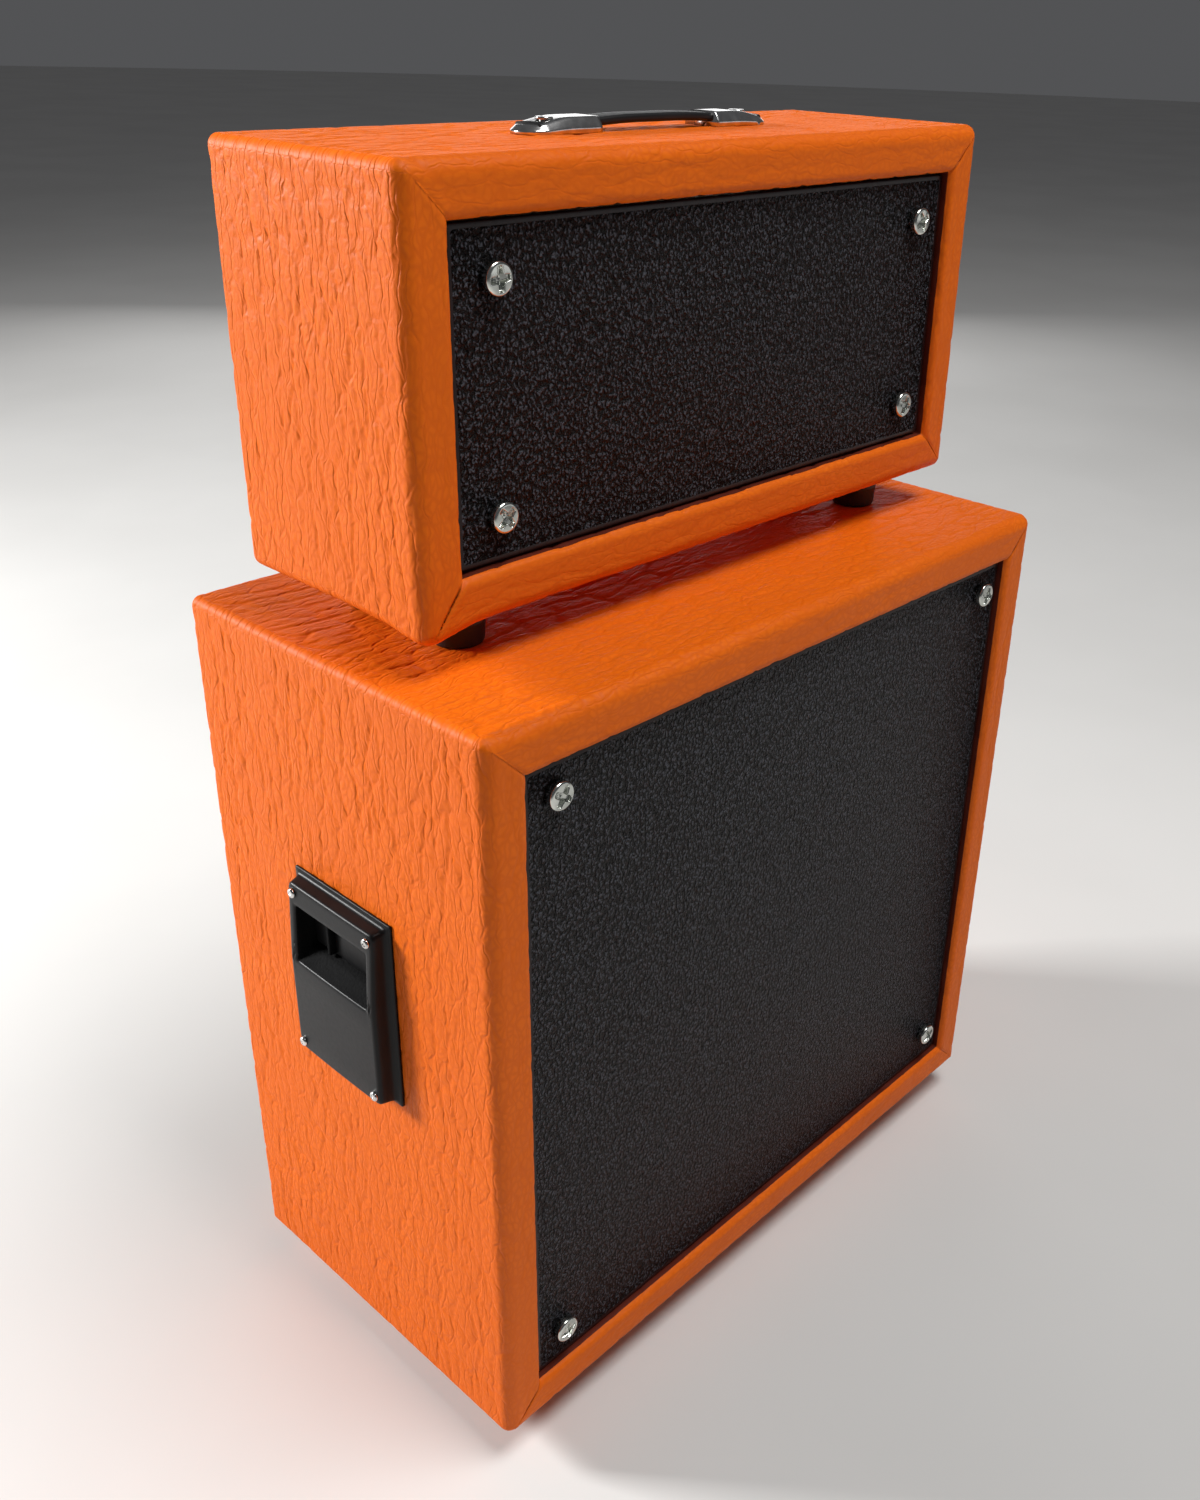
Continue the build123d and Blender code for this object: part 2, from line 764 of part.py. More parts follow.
cup_screw = make_pan_screw(small_head_radius, small_head_height, small_shank_radius, cup_stand + 3.0)
cup_face_x = cab_width / 2 + cup_stand
cup_screws_at = [
    facing((side, 0, 0), (side * cup_face_x, y, cup_middle + z))
    for side in (-1, 1)
    for y, z in corners(cup_screw_x, cup_screw_z)
]
save(make_cup(-1), "left_cup_handle")
save(make_cup(1), "right_cup_handle")
save(make_screw_group(cup_screw, cup_screws_at), "cup_handle_screws")

# ---------------------------------------------------------------- head carcass
head_tube = make_carcass(head_width, head_depth, head_height, head_front, head_base)
handle_screws_at = [(x, head_centre_y) for x in (-handle_screw_x, handle_screw_x)]

with BuildPart() as head_holes:
    with Locations(*(facing(UP, place) for place in head_feet_at)):
        Cylinder(pan_shank_radius + fit, 2 * (9.0 - foot_screw_seat) + 3.0)
    for x, y in handle_screws_at:
        rod(DOWN, (x, y, head_top), handle_screw_shank + fit, 6)

save_boards(
    "head", head_tube, head_holes.part, head_width, head_depth, head_height, head_front, head_base
)

with BuildPart() as head_covering:
    add(make_covering(head_tube, head_width, head_depth, head_height, head_front, head_base))
    add(head_holes.part, mode=Mode.SUBTRACT)
save(head_covering, "head_covering")

front_block = 14.0
front_block_depth = 9.0
rear_block = 7.0
rear_block_depth = 8.0
rear_recess = 2.0
rear_panel_thickness = 1.0
rear_face = head_rear - rear_recess
rear_inside = rear_face - rear_panel_thickness
head_middle = (head_base + head_top) / 2
head_inner_half_z = (head_ceiling - head_floor) / 2
front_blocks_at = corners(head_inner_x - front_block / 2, head_inner_half_z - front_block / 2)
rear_blocks_at = corners(head_inner_x - rear_block / 2, head_inner_half_z - rear_block / 2)
rear_screws_at = [(x, head_middle + z) for x, z in rear_blocks_at]

with BuildPart() as head_corner_blocks:
    for x, z in front_blocks_at:
        with Locations((x, head_panel_back + front_block_depth / 2, head_middle + z)):
            Box(front_block, front_block_depth, front_block)
    with Locations(*head_panel_screws_at):
        Cylinder(pan_shank_radius + fit, 20, mode=Mode.SUBTRACT)
    for x, z in rear_blocks_at:
        with Locations((x, rear_inside - rear_block_depth / 2, head_middle + z)):
            Box(rear_block, rear_block_depth, rear_block)
        rod(FRONT, (x, rear_inside, head_middle + z), 1.0 + fit, 4, Mode.SUBTRACT)
save(head_corner_blocks, "head_corner_blocks")

head_front_panel = make_front_panel(
    head_width, head_height, head_middle, head_panel_face, head_panel_screws_at
)
save(head_front_panel, "head_front_panel")
save(make_screw_group(panel_screw, head_panel_screws_at), "head_front_screws")

# ---------------------------------------------------------------- strap handle
with BuildPart() as handle_end_caps:
    for side in (-1, 1):
        tip = side * (handle_length / 2 - handle_width / 2)
        inner_end = side * (handle_length / 2 - cap_length)
        with BuildSketch(Plane.XY.offset(head_top)):
            with Locations(((tip + inner_end) / 2, head_centre_y)):
                Rectangle(abs(tip - inner_end), handle_width)
            with Locations((tip, head_centre_y)):
                Circle(handle_width / 2)
        extrude(amount=handle_height)
    fillet(handle_end_caps.edges().group_by(Axis.Z)[-1], 0.7)
    for side in (-1, 1):
        cavity_end = side * (handle_length / 2 - 1.4)
        inner_end = side * (handle_length / 2 - cap_length - 1)
        span_box(
            (min(cavity_end, inner_end), head_centre_y - handle_width / 2 + cap_metal, head_top),
            (
                max(cavity_end, inner_end),
                head_centre_y + handle_width / 2 - cap_metal,
                head_top + handle_height - cap_metal,
            ),
            mode=Mode.SUBTRACT,
        )
    for x, y in handle_screws_at:
        rod(DOWN, (x, y, head_top + handle_height), handle_screw_shank + fit, 3, Mode.SUBTRACT)
        rod(DOWN, (x, y, head_top + handle_height), 1.5 + fit, handle_screw_seat, Mode.SUBTRACT)
save(handle_end_caps, "handle_end_caps")

strap_half = handle_length / 2 - 2.4
strap_low = head_top + strap_end_height
strap_bend_x = handle_length / 2 - cap_length
with BuildPart() as handle_strap:
    with BuildSketch(Plane.XZ.offset(-head_centre_y + strap_width / 2)):
        with BuildLine():
            lower = ThreePointArc(
                (-strap_bend_x, strap_low), (0, strap_low + strap_rise), (strap_bend_x, strap_low)
            )
            Line(lower @ 1, (strap_half, strap_low))
            Line((strap_half, strap_low), (strap_half, strap_low + strap_thickness))
            Line((strap_half, strap_low + strap_thickness), (strap_bend_x, strap_low + strap_thickness))
            upper = ThreePointArc(
                (strap_bend_x, strap_low + strap_thickness),
                (0, strap_low + strap_rise + strap_thickness),
                (-strap_bend_x, strap_low + strap_thickness),
            )
            Line(upper @ 1, (-strap_half, strap_low + strap_thickness))
            Line((-strap_half, strap_low + strap_thickness), (-strap_half, strap_low))
            Line((-strap_half, strap_low), lower @ 0)
        make_face()
    extrude(amount=-strap_width)
    fillet(handle_strap.edges().filter_by(GeomType.CIRCLE), 0.4)
    for x, y in handle_screws_at:
        rod(DOWN, (x, y, head_top + handle_height), handle_screw_shank + 0.4, 3, Mode.SUBTRACT)
save(handle_strap, "handle_strap")

handle_screw = make_pan_screw(1.5, handle_screw_seat, handle_screw_shank, 6.0)
handle_screw_height = head_top + handle_height - handle_screw_seat
handle_screws = make_screw_group(handle_screw, [(x, y, handle_screw_height) for x, y in handle_screws_at])
save(handle_screws, "handle_screws")

# ---------------------------------------------------------------- rear panel of the head
control_z = head_floor + 14.25

input_x = 50.0
knob_places = {"gain": 31.0, "tone": 15.5, "volume": 0.0}
lamp_x = -12.0
switch_x = -23.0
power_in_x = -35.5
speaker_out_x = -50.0

pot_radius = 7.5
pot_depth = 8.5
pot_bush_radius = 3.5
pot_bush_stand = 3.6
shaft_radius = 3.0

switch_cut = (10.4, 14.0)
power_in_radius = 4.2
lamp_radius = 1.5
lamp_rim_radius = 2.1

door_width = 49.0
door_height = 19.0
door_thickness = 1.2
door_x = -28.0
door_low = head_ceiling - 23.2
door_gap = 0.4
hinge_pin_radius = 0.5
hinge_knuckle_radius = 1.1
hinge_z = door_low - 0.2
hinge_y = rear_face + hinge_knuckle_radius + 0.3
knuckle_length = 6.0
knuckle_x = (door_width - 3 * knuckle_length) / 2

vent_x = 29.0
vent_pitch = 4.6
vent_count = 10
vent_slot = (2.2, 15.0)
vent_z = door_low + door_height / 2

with BuildPart() as head_rear_panel:
    with BuildSketch(Plane.XZ.offset(-rear_inside)):
        with Locations((0, head_middle)):
            Rectangle(2 * (head_inner_x - slack), head_ceiling - head_floor - 2 * slack)
        with Locations(*rear_screws_at):
            Circle(1.0 + fit, mode=Mode.SUBTRACT)
        with Locations((input_x, control_z), (speaker_out_x, control_z)):
            Circle(jack_bush_radius + fit, mode=Mode.SUBTRACT)
        with Locations(*((x, control_z) for x in knob_places.values())):
            Circle(pot_bush_radius + fit, mode=Mode.SUBTRACT)
        with Locations((lamp_x, control_z)):
            Circle(lamp_radius + fit, mode=Mode.SUBTRACT)
        with Locations((switch_x, control_z)):
            Rectangle(switch_cut[0] + 2 * fit, switch_cut[1] + 2 * fit, mode=Mode.SUBTRACT)
        with Locations((power_in_x, control_z)):
            Circle(power_in_radius + fit, mode=Mode.SUBTRACT)
        with Locations((door_x, door_low + door_height / 2)):
            Rectangle(door_width, door_height, mode=Mode.SUBTRACT)
        with Locations((vent_x, vent_z)):
            with GridLocations(vent_pitch, 1, vent_count, 1):
                SlotOverall(vent_slot[1], vent_slot[0], rotation=90, mode=Mode.SUBTRACT)
    extrude(amount=-rear_panel_thickness)
    for side in (-1, 1):
        ear_start = door_x + side * knuckle_x - knuckle_length / 2
        rod(RIGHT, (ear_start, hinge_y, hinge_z), hinge_knuckle_radius, knuckle_length)
        span_box(
            (ear_start, rear_face, hinge_z - hinge_knuckle_radius),
            (ear_start + knuckle_length, hinge_y, hinge_z),
        )
        rod(RIGHT, (ear_start, hinge_y, hinge_z), hinge_pin_radius, knuckle_length, Mode.SUBTRACT)
save(head_rear_panel, "head_rear_panel")

save(
    make_screw_group(short_screw, [facing(REAR, (x, rear_face, z)) for x, z in rear_screws_at]),
    "head_rear_screws",
)

# ---------------------------------------------------------------- battery bay
with BuildPart() as battery_door:
    span_box(
        (door_x - door_width / 2 + door_gap, rear_face - door_thickness, door_low + door_gap),
        (door_x + door_width / 2 - door_gap, rear_face, door_low + door_height - door_gap),
    )
    for step in range(5):
        with Locations((door_x, rear_face, door_low + door_height - 3.2 - 1.2 * step)):
            Box(16, 0.7, 0.5)
    rod(
        RIGHT,
        (door_x - knuckle_x + knuckle_length / 2 + 0.3, hinge_y, hinge_z),
        hinge_knuckle_radius,
        2 * knuckle_x - knuckle_length - 0.6,
    )
    span_box(
        (door_x - knuckle_x + knuckle_length / 2 + 0.3, rear_face, hinge_z + 0.1),
        (door_x + knuckle_x - knuckle_length / 2 - 0.3, hinge_y, door_low + door_gap + 1.2),
    )
    rod(
        RIGHT,
        (door_x - door_width / 2, hinge_y, hinge_z),
        hinge_pin_radius + fit,
        door_width,
        Mode.SUBTRACT,
    )
save(battery_door, "battery_door")

with BuildPart() as door_hinge_pin:
    pin_half = knuckle_x + knuckle_length / 2
    rod(RIGHT, (door_x - pin_half, hinge_y, hinge_z), hinge_pin_radius, 2 * pin_half)
save(door_hinge_pin, "door_hinge_pin")

bay_wall = 1.0
bay_width = 54.0
bay_height = 21.0
bay_depth = 29.0
bay_low = door_low + door_height / 2 - bay_height / 2
with BuildPart() as battery_bay:
    span_box(
        (door_x - bay_width / 2, rear_inside - bay_depth, bay_low),
        (door_x + bay_width / 2, rear_inside, bay_low + bay_height),
    )
    span_box(
        (door_x - bay_width / 2 + bay_wall, rear_inside - bay_depth + bay_wall, bay_low + bay_wall),
        (door_x + bay_width / 2 - bay_wall, rear_inside, bay_low + bay_height - bay_wall),
        mode=Mode.SUBTRACT,
    )
save(battery_bay, "battery_bay")

battery_size = (46.0, 25.5, 17.0)
battery_front = rear_inside - bay_depth + bay_wall + 0.3
battery_left = door_x - bay_width / 2 + bay_wall + 3.0
battery_low = bay_low + bay_wall
with BuildPart() as battery:
    span_box(
        (battery_left, battery_front, battery_low),
        (
            battery_left + battery_size[0],
            battery_front + battery_size[1],
            battery_low + battery_size[2],
        ),
    )
    fillet(battery.edges().filter_by(Axis.X), 2.0)
    for y in (-6.3, 6.3):
        terminal_y = battery_front + battery_size[1] / 2 + y
        rod(LEFT, (battery_left, terminal_y, battery_low + battery_size[2] / 2), 2.8, 1.6)
save(battery, "battery")

# ---------------------------------------------------------------- chassis and circuit board
tray_thickness = 0.8
tray_half_x = 48.0
tray_front = head_panel_back + front_block_depth + 0.5
tray_lip = 6.0
standoff_height = 4.0
board_thickness = 1.6
circuit_low = head_floor + tray_thickness + standoff_height
circuit_half_x = 39.0
circuit_front = tray_front + 2.0
circuit_rear = rear_inside - pot_depth - 1.0
circuit_top = circuit_low + board_thickness
standoffs_at = [
    (x, (circuit_front + circuit_rear) / 2 + y)
    for x, y in corners(circuit_half_x - 3, (circuit_rear - circuit_front) / 2 - 3)
]
with BuildPart() as chassis_tray:
    span_box(
        (-tray_half_x, tray_front, head_floor),
        (tray_half_x, rear_inside, head_floor + tray_thickness),
    )
    span_box(
        (-tray_half_x, tray_front, head_floor),
        (tray_half_x, tray_front + tray_thickness, head_floor + tray_lip),
    )
    for x, y in standoffs_at:
        rod(UP, (x, y, head_floor + tray_thickness), 2.2, standoff_height)
save(chassis_tray, "chassis_tray")

with BuildPart() as circuit_board:
    span_box((-circuit_half_x, circuit_front, circuit_low), (circuit_half_x, circuit_rear, circuit_top))
    for x, y in standoffs_at:
        rod(UP, (x, y, circuit_low), 1.2, board_thickness, Mode.SUBTRACT)
save(circuit_board, "circuit_board")

circuit_middle_y = (circuit_front + circuit_rear) / 2
chip_half = (5.0, 3.2)
chip_x = -3.0
chip_height = 3.4
sink_base = 1.2
sink_fins = 6
capacitors = ((-28, 4.0, 11), (-18, 3.2, 9), (12, 2.5, 7), (20, 2.5, 7), (29, 3.2, 9))

with BuildPart() as circuit_components:
    for x, radius, tall in capacitors:
        rod(UP, (x, circuit_middle_y, circuit_top), radius, tall)
    with Locations((chip_x, circuit_middle_y, circuit_top + chip_height / 2)):
        Box(2 * chip_half[0], 2 * chip_half[1], chip_height)
save(circuit_components, "circuit_components")

with BuildPart() as chip_heat_sink:
    with Locations((chip_x, circuit_middle_y, circuit_top + chip_height + sink_base / 2)):
        Box(2 * chip_half[0], 2 * chip_half[1], sink_base)
    with Locations((chip_x, circuit_middle_y, circuit_top + chip_height + sink_base + 3)):
        with GridLocations(2 * (chip_half[0] - 0.4) / (sink_fins - 1), 1, sink_fins, 1):
            Box(0.7, 2 * chip_half[1], 6)
save(chip_heat_sink, "chip_heat_sink")

# ---------------------------------------------------------------- controls and sockets
knob_radius = 6.2
knob_front_radius = 5.4
knob_length = 8.6
knob_flutes = 24
knob_clear = 0.4
knob_start = rear_face + pot_bush_stand + knob_clear
shaft_reach = knob_length - 2.0
pot_nut_corners = 5.4

with BuildPart() as potentiometers:
    for x in knob_places.values():
        rod(FRONT, (x, rear_inside, control_z), pot_radius, pot_depth)
        rod(REAR, (x, rear_inside, control_z), pot_bush_radius, rear_panel_thickness + pot_bush_stand)
        rod(
            FRONT,
            (x, rear_face + pot_bush_stand, control_z),
            shaft_radius + fit,
            rear_panel_thickness + pot_bush_stand + 2.0,
            Mode.SUBTRACT,
        )
        add(make_nut(x, control_z, rear_face, pot_bush_radius, pot_nut_corners, 1.6).part)
save(potentiometers, "potentiometers")

for name, x in knob_places.items():
    with BuildPart() as shaft:
        rod(
            REAR,
            (x, rear_inside - 1.5, control_z),
            shaft_radius,
            knob_start + shaft_reach - rear_inside + 1.5,
        )

    with BuildPart() as knob:
        with BuildSketch(Plane.XZ.offset(-knob_start)):
            with Locations((x, control_z)):
                Circle(knob_front_radius)
                with PolarLocations(knob_front_radius + 0.3, knob_flutes):
                    Circle(0.5, mode=Mode.SUBTRACT)
        extrude(amount=-knob_length + 0.4)
        rod(REAR, (x, knob_start, control_z), knob_front_radius - 0.5, knob_length)
        rod(REAR, (x, knob_start, control_z), knob_radius, 1.6)
        span_box(
            (x - 0.35, knob_start + knob_length - 0.9, control_z + 0.8),
            (x + 0.35, knob_start + knob_length, control_z + knob_front_radius),
            mode=Mode.SUBTRACT,
        )
        rod(REAR, (x, knob_start, control_z), shaft_radius + fit, shaft_reach + fit, Mode.SUBTRACT)
        add(shaft.part)
    save(knob, f"{name}_knob")

with BuildPart() as head_jacks:
    for x in (input_x, speaker_out_x):
        add(make_jack(x, control_z, rear_face, rear_inside).part)
save(head_jacks, "head_jacks")

with BuildPart() as power_socket:
    span_box(
        (power_in_x - 4.4, rear_inside - 11, control_z - 4.4),
        (power_in_x + 4.4, rear_inside, control_z + 4.4),
    )
    rod(REAR, (power_in_x, rear_inside, control_z), power_in_radius, rear_panel_thickness)
    rod(REAR, (power_in_x, rear_face, control_z), power_in_radius + 0.9, 0.9)
    rod(FRONT, (power_in_x, rear_face + 0.9, control_z), 2.8, 10, Mode.SUBTRACT)
    rod(FRONT, (power_in_x, rear_face, control_z), 1.0, 9.5)
save(power_socket, "power_socket")

with BuildPart() as power_lamp:
    rod(REAR, (lamp_x, rear_face, control_z), lamp_rim_radius, 0.6)
    rod(FRONT, (lamp_x, rear_face, control_z), lamp_radius, 5)
    rod(REAR, (lamp_x, rear_face + 0.6, control_z), lamp_radius, 1.4)
    fillet(power_lamp.edges().sort_by(Axis.Y)[-1], 1.2)
save(power_lamp, "power_lamp")

# The rocker turns about a level pin, and rests with its lower half pressed in.
rocker_tilt = 10.0
rocker_pivot = (switch_x, rear_face - 1.0, control_z)
rocker_half_x = 3.6
rocker_pin_radius = 0.8
rocker_outline = [(4.9, 4.6), (0, 3.4), (-4.9, 4.6), (-4.9, 1.2), (-2.2, -2.4), (2.2, -2.4), (4.9, 1.2)]

with BuildPart() as power_switch_body:
    span_box(
        (switch_x - switch_cut[0] / 2, rear_inside - 11, control_z - switch_cut[1] / 2),
        (switch_x + switch_cut[0] / 2, rear_face, control_z + switch_cut[1] / 2),
    )
    span_box(
        (switch_x - switch_cut[0] / 2 - 0.8, rear_face, control_z - switch_cut[1] / 2 - 0.8),
        (switch_x + switch_cut[0] / 2 + 0.8, rear_face + 1.5, control_z + switch_cut[1] / 2 + 0.8),
    )
    span_box(
        (switch_x - rocker_half_x - 0.2, rear_face - 5.5, control_z - 6.0),
        (switch_x + rocker_half_x + 0.2, rear_face + 1.5, control_z + 6.0),
        mode=Mode.SUBTRACT,
    )
    rod(
        RIGHT,
        (switch_x - rocker_half_x - 1.0, rocker_pivot[1], control_z),
        rocker_pin_radius + fit,
        2 * rocker_half_x + 2.0,
        Mode.SUBTRACT,
    )
save(power_switch_body, "power_switch_body")

with BuildPart() as power_rocker:
    leaning = (0, sin(radians(rocker_tilt)), cos(radians(rocker_tilt)))
    tilted = Plane(origin=rocker_pivot, x_dir=leaning, z_dir=RIGHT)
    with BuildSketch(tilted.offset(-rocker_half_x)):
        with BuildLine():
            Polyline(*((z, -y) for z, y in rocker_outline), close=True)
        make_face()
    extrude(amount=2 * rocker_half_x)
    rod(
        RIGHT,
        (switch_x - rocker_half_x - 0.8, rocker_pivot[1], control_z),
        rocker_pin_radius,
        2 * rocker_half_x + 1.6,
    )
save(power_rocker, "power_rocker")
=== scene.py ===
"""Looks of the desktop guitar amplifier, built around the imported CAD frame. Metres."""

import json
import math
from collections import namedtuple

import bmesh
import bpy
import numpy as np
from mathutils import Euler, Matrix, Vector


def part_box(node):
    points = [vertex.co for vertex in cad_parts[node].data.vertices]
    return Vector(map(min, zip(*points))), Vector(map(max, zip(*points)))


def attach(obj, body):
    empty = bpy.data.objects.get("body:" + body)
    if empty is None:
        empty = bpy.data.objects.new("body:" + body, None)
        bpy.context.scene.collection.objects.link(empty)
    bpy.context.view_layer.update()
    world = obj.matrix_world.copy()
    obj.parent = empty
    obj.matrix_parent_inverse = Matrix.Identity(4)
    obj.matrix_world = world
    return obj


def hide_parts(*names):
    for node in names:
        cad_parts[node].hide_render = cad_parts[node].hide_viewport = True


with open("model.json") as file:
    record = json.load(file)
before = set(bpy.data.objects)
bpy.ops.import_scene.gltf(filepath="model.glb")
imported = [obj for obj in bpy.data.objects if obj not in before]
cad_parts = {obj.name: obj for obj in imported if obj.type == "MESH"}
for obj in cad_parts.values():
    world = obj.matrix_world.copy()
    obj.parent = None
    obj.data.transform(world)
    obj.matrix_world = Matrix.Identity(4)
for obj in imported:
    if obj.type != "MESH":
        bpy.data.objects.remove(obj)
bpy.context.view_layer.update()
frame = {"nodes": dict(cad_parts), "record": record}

MM = 0.001
PER_METRE = (1000.0, 1000.0, 1000.0)  # a mapping's scale from metres to millimetres
record = frame["record"]
nodes = frame["nodes"]


# ---- camera
CAMERA_PLACE = (-193.2 * MM, -181.4 * MM, 252.9 * MM)
CAMERA_TURN = (63.35, -1.71, -47.54)
CAMERA_LENS = 34.02
CAMERA_SHIFT = (-0.0570, -0.0183)

camera_data = bpy.data.cameras.new("camera")
camera = bpy.data.objects.new("camera", camera_data)
bpy.context.scene.collection.objects.link(camera)
camera.location = CAMERA_PLACE
camera.rotation_euler = Euler([math.radians(a) for a in CAMERA_TURN], "XYZ")
camera_data.sensor_width = 36.0
camera_data.lens = CAMERA_LENS
camera_data.shift_x, camera_data.shift_y = CAMERA_SHIFT
camera_data.clip_start, camera_data.clip_end = 0.005, 50.0
bpy.context.scene.camera = camera
bpy.context.scene.view_settings.view_transform = "Standard"


# ---- node building
class Shader:
    """A material's node tree, with short calls for what every material here needs."""

    def __init__(self, name, **sockets):
        self.material = bpy.data.materials.new(name)
        self.material.use_nodes = True
        self.tree = self.material.node_tree
        self.surface = self.tree.nodes["Principled BSDF"]
        for key, value in sockets.items():
            self.surface.inputs[key.replace("_", " ")].default_value = value

    def node(self, kind, inputs=None, **settings):
        made = self.tree.nodes.new("ShaderNode" + kind)
        for key, value in settings.items():
            setattr(made, key, value)
        for key, value in (inputs or {}).items():
            if isinstance(value, bpy.types.NodeSocket):
                self.tree.links.new(value, made.inputs[key])
            else:
                made.inputs[key].default_value = value
        return made

    def math(self, operation, a, b=0.0, c=0.0):
        return self.node("Math", {0: a, 1: b, 2: c}, operation=operation).outputs[0]

    def mapped(self, source, scale, turn=(0, 0, 0)):
        inputs = {"Vector": source, "Scale": scale, "Rotation": turn}
        return self.node("Mapping", inputs).outputs[0]

    def place(self):
        return self.node("TexCoord").outputs["Object"]

    def noise(self, vector, scale, detail=3.0, rough=0.5, flat=False, output="Fac"):
        inputs = {"Vector": vector, "Scale": scale, "Detail": detail, "Roughness": rough}
        kind = "2D" if flat else "3D"
        return self.node("TexNoise", inputs, noise_dimensions=kind).outputs[output]

    def cells(self, vector, spacing, feature="F1"):
        inputs = {"Vector": self.mapped(vector, spacing), "Scale": 1.0}
        made = self.node("TexVoronoi", inputs, voronoi_dimensions="2D", feature=feature)
        return made.outputs["Distance"]

    def shifted(self, vector, by, amount):
        inputs = {0: by, 1: (amount,) * 3, 2: vector}
        return self.node("VectorMath", inputs, operation="MULTIPLY_ADD").outputs[0]

    def ramp(self, value, low, high, start=0.0, end=1.0):
        inputs = {"Value": value, "From Min": low, "From Max": high, "To Min": start, "To Max": end}
        return self.node("MapRange", inputs, interpolation_type="SMOOTHSTEP").outputs["Result"]

    def mix(self, factor, a, b):
        return self.node("Mix", {0: factor, 6: a, 7: b}, data_type="RGBA").outputs[2]

    def bump(self, height, distance, strength):
        inputs = {"Height": height, "Distance": distance, "Strength": strength}
        return self.node("Bump", inputs).outputs[0]

    def use(self, **links):
        for key, value in links.items():
            self.tree.links.new(value, self.surface.inputs[key.replace("_", " ")])
        return self.material


def rgb(red, green, blue):
    return (red, green, blue, 1.0)


def scaled(colour, factor, lift=0.0):
    """A darker or lighter colour, no channel above 1."""
    return rgb(*(min(1.0, factor * c + lift) for c in colour[:3]))


# ---- repeatable noise
def hashed(column, row, seed):
    """A repeatable number from 0 to 1 for each cell of a grid."""
    n = column.astype(np.int64) * 374761393 + row.astype(np.int64) * 668265263 + seed * 69069
    n &= 0xFFFFFFFF
    n = ((n ^ (n >> 13)) * 1274126177) & 0xFFFFFFFF
    return ((n ^ (n >> 16)) & 0xFFFFFF) / float(0x1000000)


def soft_noise(x, y, seed):
    """Smooth value noise from -1 to 1."""
    column, row = np.floor(x), np.floor(y)
    fx, fy = x - column, y - row
    sx, sy = fx * fx * (3 - 2 * fx), fy * fy * (3 - 2 * fy)
    low = hashed(column, row, seed) * (1 - sx) + hashed(column + 1, row, seed) * sx
    high = hashed(column, row + 1, seed) * (1 - sx) + hashed(column + 1, row + 1, seed) * sx
    return 2 * (low * (1 - sy) + high * sy) - 1


def edge_gap(x, y, seed):
    """How far a point is from the border between its two nearest cells."""
    column, row = np.floor(x), np.floor(y)
    nearest = np.full(x.shape, 9.0)
    second = np.full(x.shape, 9.0)
    for dx in (-1, 0, 1):
        for dy in (-1, 0, 1):
            px = column + dx + 0.15 + 0.7 * hashed(column + dx, row + dy, seed)
            py = row + dy + 0.15 + 0.7 * hashed(column + dx, row + dy, seed + 7)
            d = np.hypot(px - x, py - y)
            second = np.minimum(second, np.maximum(nearest, d))
            nearest = np.minimum(nearest, d)
    return second - nearest


def smooth_step(low, high, value):
    t = np.clip((value - low) / (high - low), 0, 1)
    return t * t * (3 - 2 * t)


# Depths of the leatherette's creases, the height of its swells, and how far its creases wander.
LONG_DEPTH, SHORT_DEPTH, SWELL = 0.27, 0.09, 0.015
WANDER, FINE_WANDER = 2.0, 0.45


def hide_relief(along, across, seed):
    """Height of the leatherette in mm: long creases along the wrap, shorter ones between."""
    x = across + WANDER * soft_noise(along / 12, across / 9, seed)
    x += FINE_WANDER * soft_noise(along / 3.0, across / 3.0, seed + 1)
    y = along + WANDER * soft_noise(along / 8, across / 7, seed + 2)
    long_crease = 1 - smooth_step(0.0, 0.17, edge_gap(x / 3.7, y / 9.5, seed + 3))
    short_crease = 1 - smooth_step(0.0, 0.22, edge_gap(x / 2.6 + 5, y / 6.0, seed + 4))
    strong = smooth_step(-0.7, 0.2, soft_noise(along / 17, across / 8, seed + 5))
    height = SWELL * soft_noise(along / 4.0, across / 2.0, seed + 6)
    height -= LONG_DEPTH * long_crease * (0.25 + 0.75 * strong)
    height -= SHORT_DEPTH * short_crease * (1 - 0.4 * strong)
    return height


# ---- mesh helpers
def add_object(name, points, faces, body, material, covers=(), slot=None):
    """A mesh object in the row frame that rides on a body."""
    mesh = bpy.data.meshes.new(name)
    mesh.from_pydata([tuple(p) for p in points], [], faces)
    mesh.update()
    return finish_object(name, mesh, body, material, covers)


def shown(name, mesh, material):
    """A smooth-shaded mesh put in the scene."""
    mesh.polygons.foreach_set("use_smooth", [True] * len(mesh.polygons))
    mesh.materials.append(material)
    made = bpy.data.objects.new(name, mesh)
    bpy.context.scene.collection.objects.link(made)
    return made


def finish_object(name, mesh, body, material, covers):
    made = shown(name, mesh, material)
    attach(made, body)
    if covers:
        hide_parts(*covers)
    return made


def steps(start, end, pitch):
    """Evenly spaced numbers from start up to, and without, end."""
    count = max(1, round(abs(end - start) / pitch))
    return [start + (end - start) * k / count for k in range(count)]


